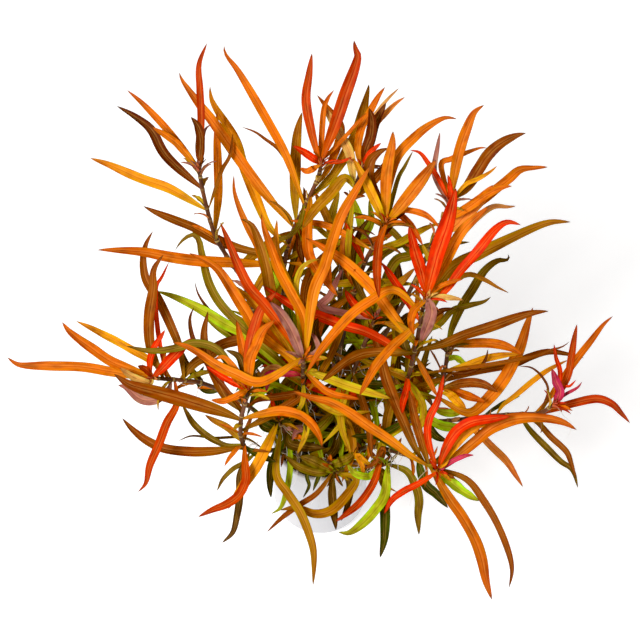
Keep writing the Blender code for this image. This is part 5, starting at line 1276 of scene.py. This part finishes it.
body = leaf_skin.mix((1.0 - edge.between(0.02, 0.09)) * 0.45, body, (0.40, 0.22, 0.12), "MULTIPLY")
body = leaf_skin.mix(edge.between(0.35, 0.90) * (1.0 - patch.between(0.40, 0.62)) * 0.75, body,
                     (0.96, 1.50, 1.0), "MULTIPLY")
body = leaf_skin.mix(edge.between(0.80, 1.0) * 0.35, body, (0.40, 0.26, 0.16), "MULTIPLY")
body = leaf_skin.mix(s.between(0.95, 1.0) * 0.60, body, (0.030, 0.020, 0.008))
body = leaf_skin.mix(under * 0.36, body, (0.50, 0.22, 0.14))
leaf_skin.drive("Base Color", body)
leaf_skin.drive("Roughness", 0.38 + streak * 0.20 + under * 0.15)
leaf_skin.bump(fine * 0.5 + streak * 0.5, 0.00012)

stems_seen = {shoot: np.stack(looked_at(path), axis=1) for shoot, path in stem_paths.items()}
blades = [Blade(shoot, number, row, stems_seen[shoot])
          for shoot, rows in LEAVES.items() for number, row in enumerate(rows, 1)]
inner = [blade for shoot, rows in LEAVES.items()
         for blade in inner_leaves(shoot, len(rows) + 1, stem_paths, stems_seen)]
part_leaves(blades + inner, list(stems_seen.values()))
blades += [blade for blade in inner if room_round(blade, blades + inner, stem_paths) > FILL_ROOM]

groups = {}
for place, (shoot, path) in enumerate(stem_paths.items()):
    chance = np.random.default_rng(LEAFLET_SEED + place)
    line = smooth_path(path, STEM_POINTS)
    steps = np.linalg.norm(np.diff(line, axis=0), axis=1)
    from_tip = np.concatenate([np.cumsum(steps[::-1])[::-1], [0.0]])
    bud = [(BUD_STEP * pair, *(least + more * pair for least, more in (BUD_LENGTH, BUD_WIDTH, BUD_LEAN)))
           for pair in range(BUD_PAIRS)]
    axil = [(node, chance.uniform(*AXIL_LENGTH), chance.uniform(*AXIL_WIDTH), chance.uniform(*AXIL_LEAN))
            for node in node_heights(from_tip[0] - AXIL_LOWEST, path[-1, 0] / MM)]
    young = [row[1] for row in LEAVES[shoot] if row[0] == "c"]
    for kind, rows in (("crown", bud), ("stem", axil)):
        for pair, (node, length, width, lean) in enumerate(rows):
            at = int(np.argmin(np.abs(from_tip - node)))
            axis = line[at] - line[max(at - LEAFLET_AXIS_STEP, 0)]
            axis /= np.linalg.norm(axis)
            first = np.cross(axis, ACROSS_ALL_STEMS)
            first /= np.linalg.norm(first)
            second = np.cross(axis, first)
            turn = 0.5 * np.pi * pair + chance.uniform(-LEAFLET_SWING, LEAFLET_SWING)
            for side_turn in (turn, turn + np.pi):
                if kind == "stem" and chance.random() > AXIL_SHARE:
                    continue
                away = first * math.cos(side_turn) + second * math.sin(side_turn)
                reach = length * chance.uniform(*LEAFLET_LENGTHS)
                path_points, side, normal = leaflet_line(line[at], axis, away, reach, lean)
                fine = np.linspace(0.0, 1.0, LEAFLET_STATIONS)
                half = 0.5 * width * leaf_width_at(fine) ** BLADE_FULLNESS
                name = chance.choice(young if kind == "crown" else AXIL_COLOURS[int(node > AXIL_YOUNG)])
                sheet = blade_sheet(path_points, side, normal, half, varied(str(name), chance), chance)
                groups.setdefault(f"{kind}_{shoot}", []).append(sheet)

hidden = []
for number, (shoot, rows) in enumerate(LEAVES.items()):
    chance = np.random.default_rng(HEART_SEED + number)
    hidden += heart_leaves(shoot, len(rows) + HEART_FIRST, chance)
for number, blade in enumerate(blades + hidden):
    chance = np.random.default_rng(BLADE_SEED + number)
    stations = BLADE_STATIONS if number < len(blades) else HEART_STATIONS
    fine = np.linspace(0.0, 1.0, stations)
    path = smooth_path(seen(blade.across, blade.down, blade.depth), stations)
    side, normal = frames_along(path)
    near_base = np.clip(1.0 - fine / BLADE_PETIOLE_LENGTH, 0.0, 1.0)
    narrow = 1.0 - (LEAF_BASE_WIDTH - BLADE_PETIOLE) * near_base ** 2 / LEAF_BASE_WIDTH
    half = 0.5 * blade.width * MM * BLADE_WIDER * leaf_width_at(fine) ** BLADE_FULLNESS * narrow
    sheet = blade_sheet(path, side, normal, half, varied(blade.colour, chance), chance)
    home = {"c": f"crown_{blade.shoot}", "s": f"stem_{blade.shoot}", "o": blade.name}[blade.kind]
    groups.setdefault(home, []).append(sheet)

for home, sheets in groups.items():
    points, faces, carried = gather(sheets)
    leaves = make_piece(f"{home}_blades", points, faces, leaf_skin, **carried)
    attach(leaves, "root")
    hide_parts(home)


# Floor, light and camera: a plain white floor and sky, one large soft light from
# the upper left and a weaker one from the right, and the camera at the viewpoint.
def area_light(name, spot, size, power, warmth):
    """A square light that faces the middle of the plant."""
    lamp = bpy.data.lights.new(name, "AREA")
    lamp.size = size
    lamp.energy = power
    lamp.color = warmth
    holder = bpy.data.objects.new(name, lamp)
    holder.location = spot
    towards = VIEW_TARGET - np.array(spot)
    back = -towards / np.linalg.norm(towards)
    right = np.cross([0.0, 0.0, 1.0], back)
    right /= np.linalg.norm(right)
    rows = np.stack([right, np.cross(back, right), back], axis=1)
    holder.rotation_euler = Matrix(rows.tolist()).to_euler()
    bpy.context.scene.collection.objects.link(holder)


SKY_STRENGTH = 0.46
FLOOR_HALF = 4.0
FLOOR_GLOW = 0.36
DEEPEST_SHOWN = 0.0035
WHITE = (1.0, 1.0, 1.0, 1.0)

scene = bpy.context.scene
world = bpy.data.worlds.new("white_sky")
world.use_nodes = True
world.node_tree.nodes["Background"].inputs["Color"].default_value = WHITE
world.node_tree.nodes["Background"].inputs["Strength"].default_value = SKY_STRENGTH
scene.world = world
area_light("key", (-0.35, -0.30, 0.75), 0.22, 5.6, (1.0, 0.98, 0.95))
area_light("fill", (0.45, 0.05, 0.55), 0.30, 0.4, (0.96, 0.98, 1.0))

plain = Finish("floor_white", {"Roughness": 0.9, "Emission Color": WHITE, "Emission Strength": FLOOR_GLOW})
plain.drive("Base Color", plain.mix(plain.noise(plain.place(), 4.0), (0.93, 0.93, 0.93),
                                    (0.95, 0.95, 0.95)))
corners = FLOOR_HALF * np.array([[-1.0, -1.0, 0.0], [1.0, -1.0, 0.0], [1.0, 1.0, 0.0], [-1.0, 1.0, 0.0]])
floor = make_piece("floor", corners, [(0, 1, 2, 3)], plain)

lens = bpy.data.cameras.new("camera")
lens.sensor_width = 36.0
lens.lens = 36.0 * VIEW_FOCUS / (2.0 * VIEW_CENTRE)
lens.clip_start = 0.01
camera = bpy.data.objects.new("camera", lens)
camera.location = VIEW_TARGET + VIEW_BACK * VIEW_DISTANCE
camera.rotation_euler = Matrix(np.stack([VIEW_RIGHT, VIEW_UP, VIEW_BACK], axis=1).tolist()).to_euler()
scene.collection.objects.link(camera)
scene.camera = camera
scene.view_settings.view_transform = "Standard"
scene.view_settings.use_curve_mapping = True
scene.view_settings.curve_mapping.black_level = (DEEPEST_SHOWN,) * 3
scene.view_settings.curve_mapping.update()
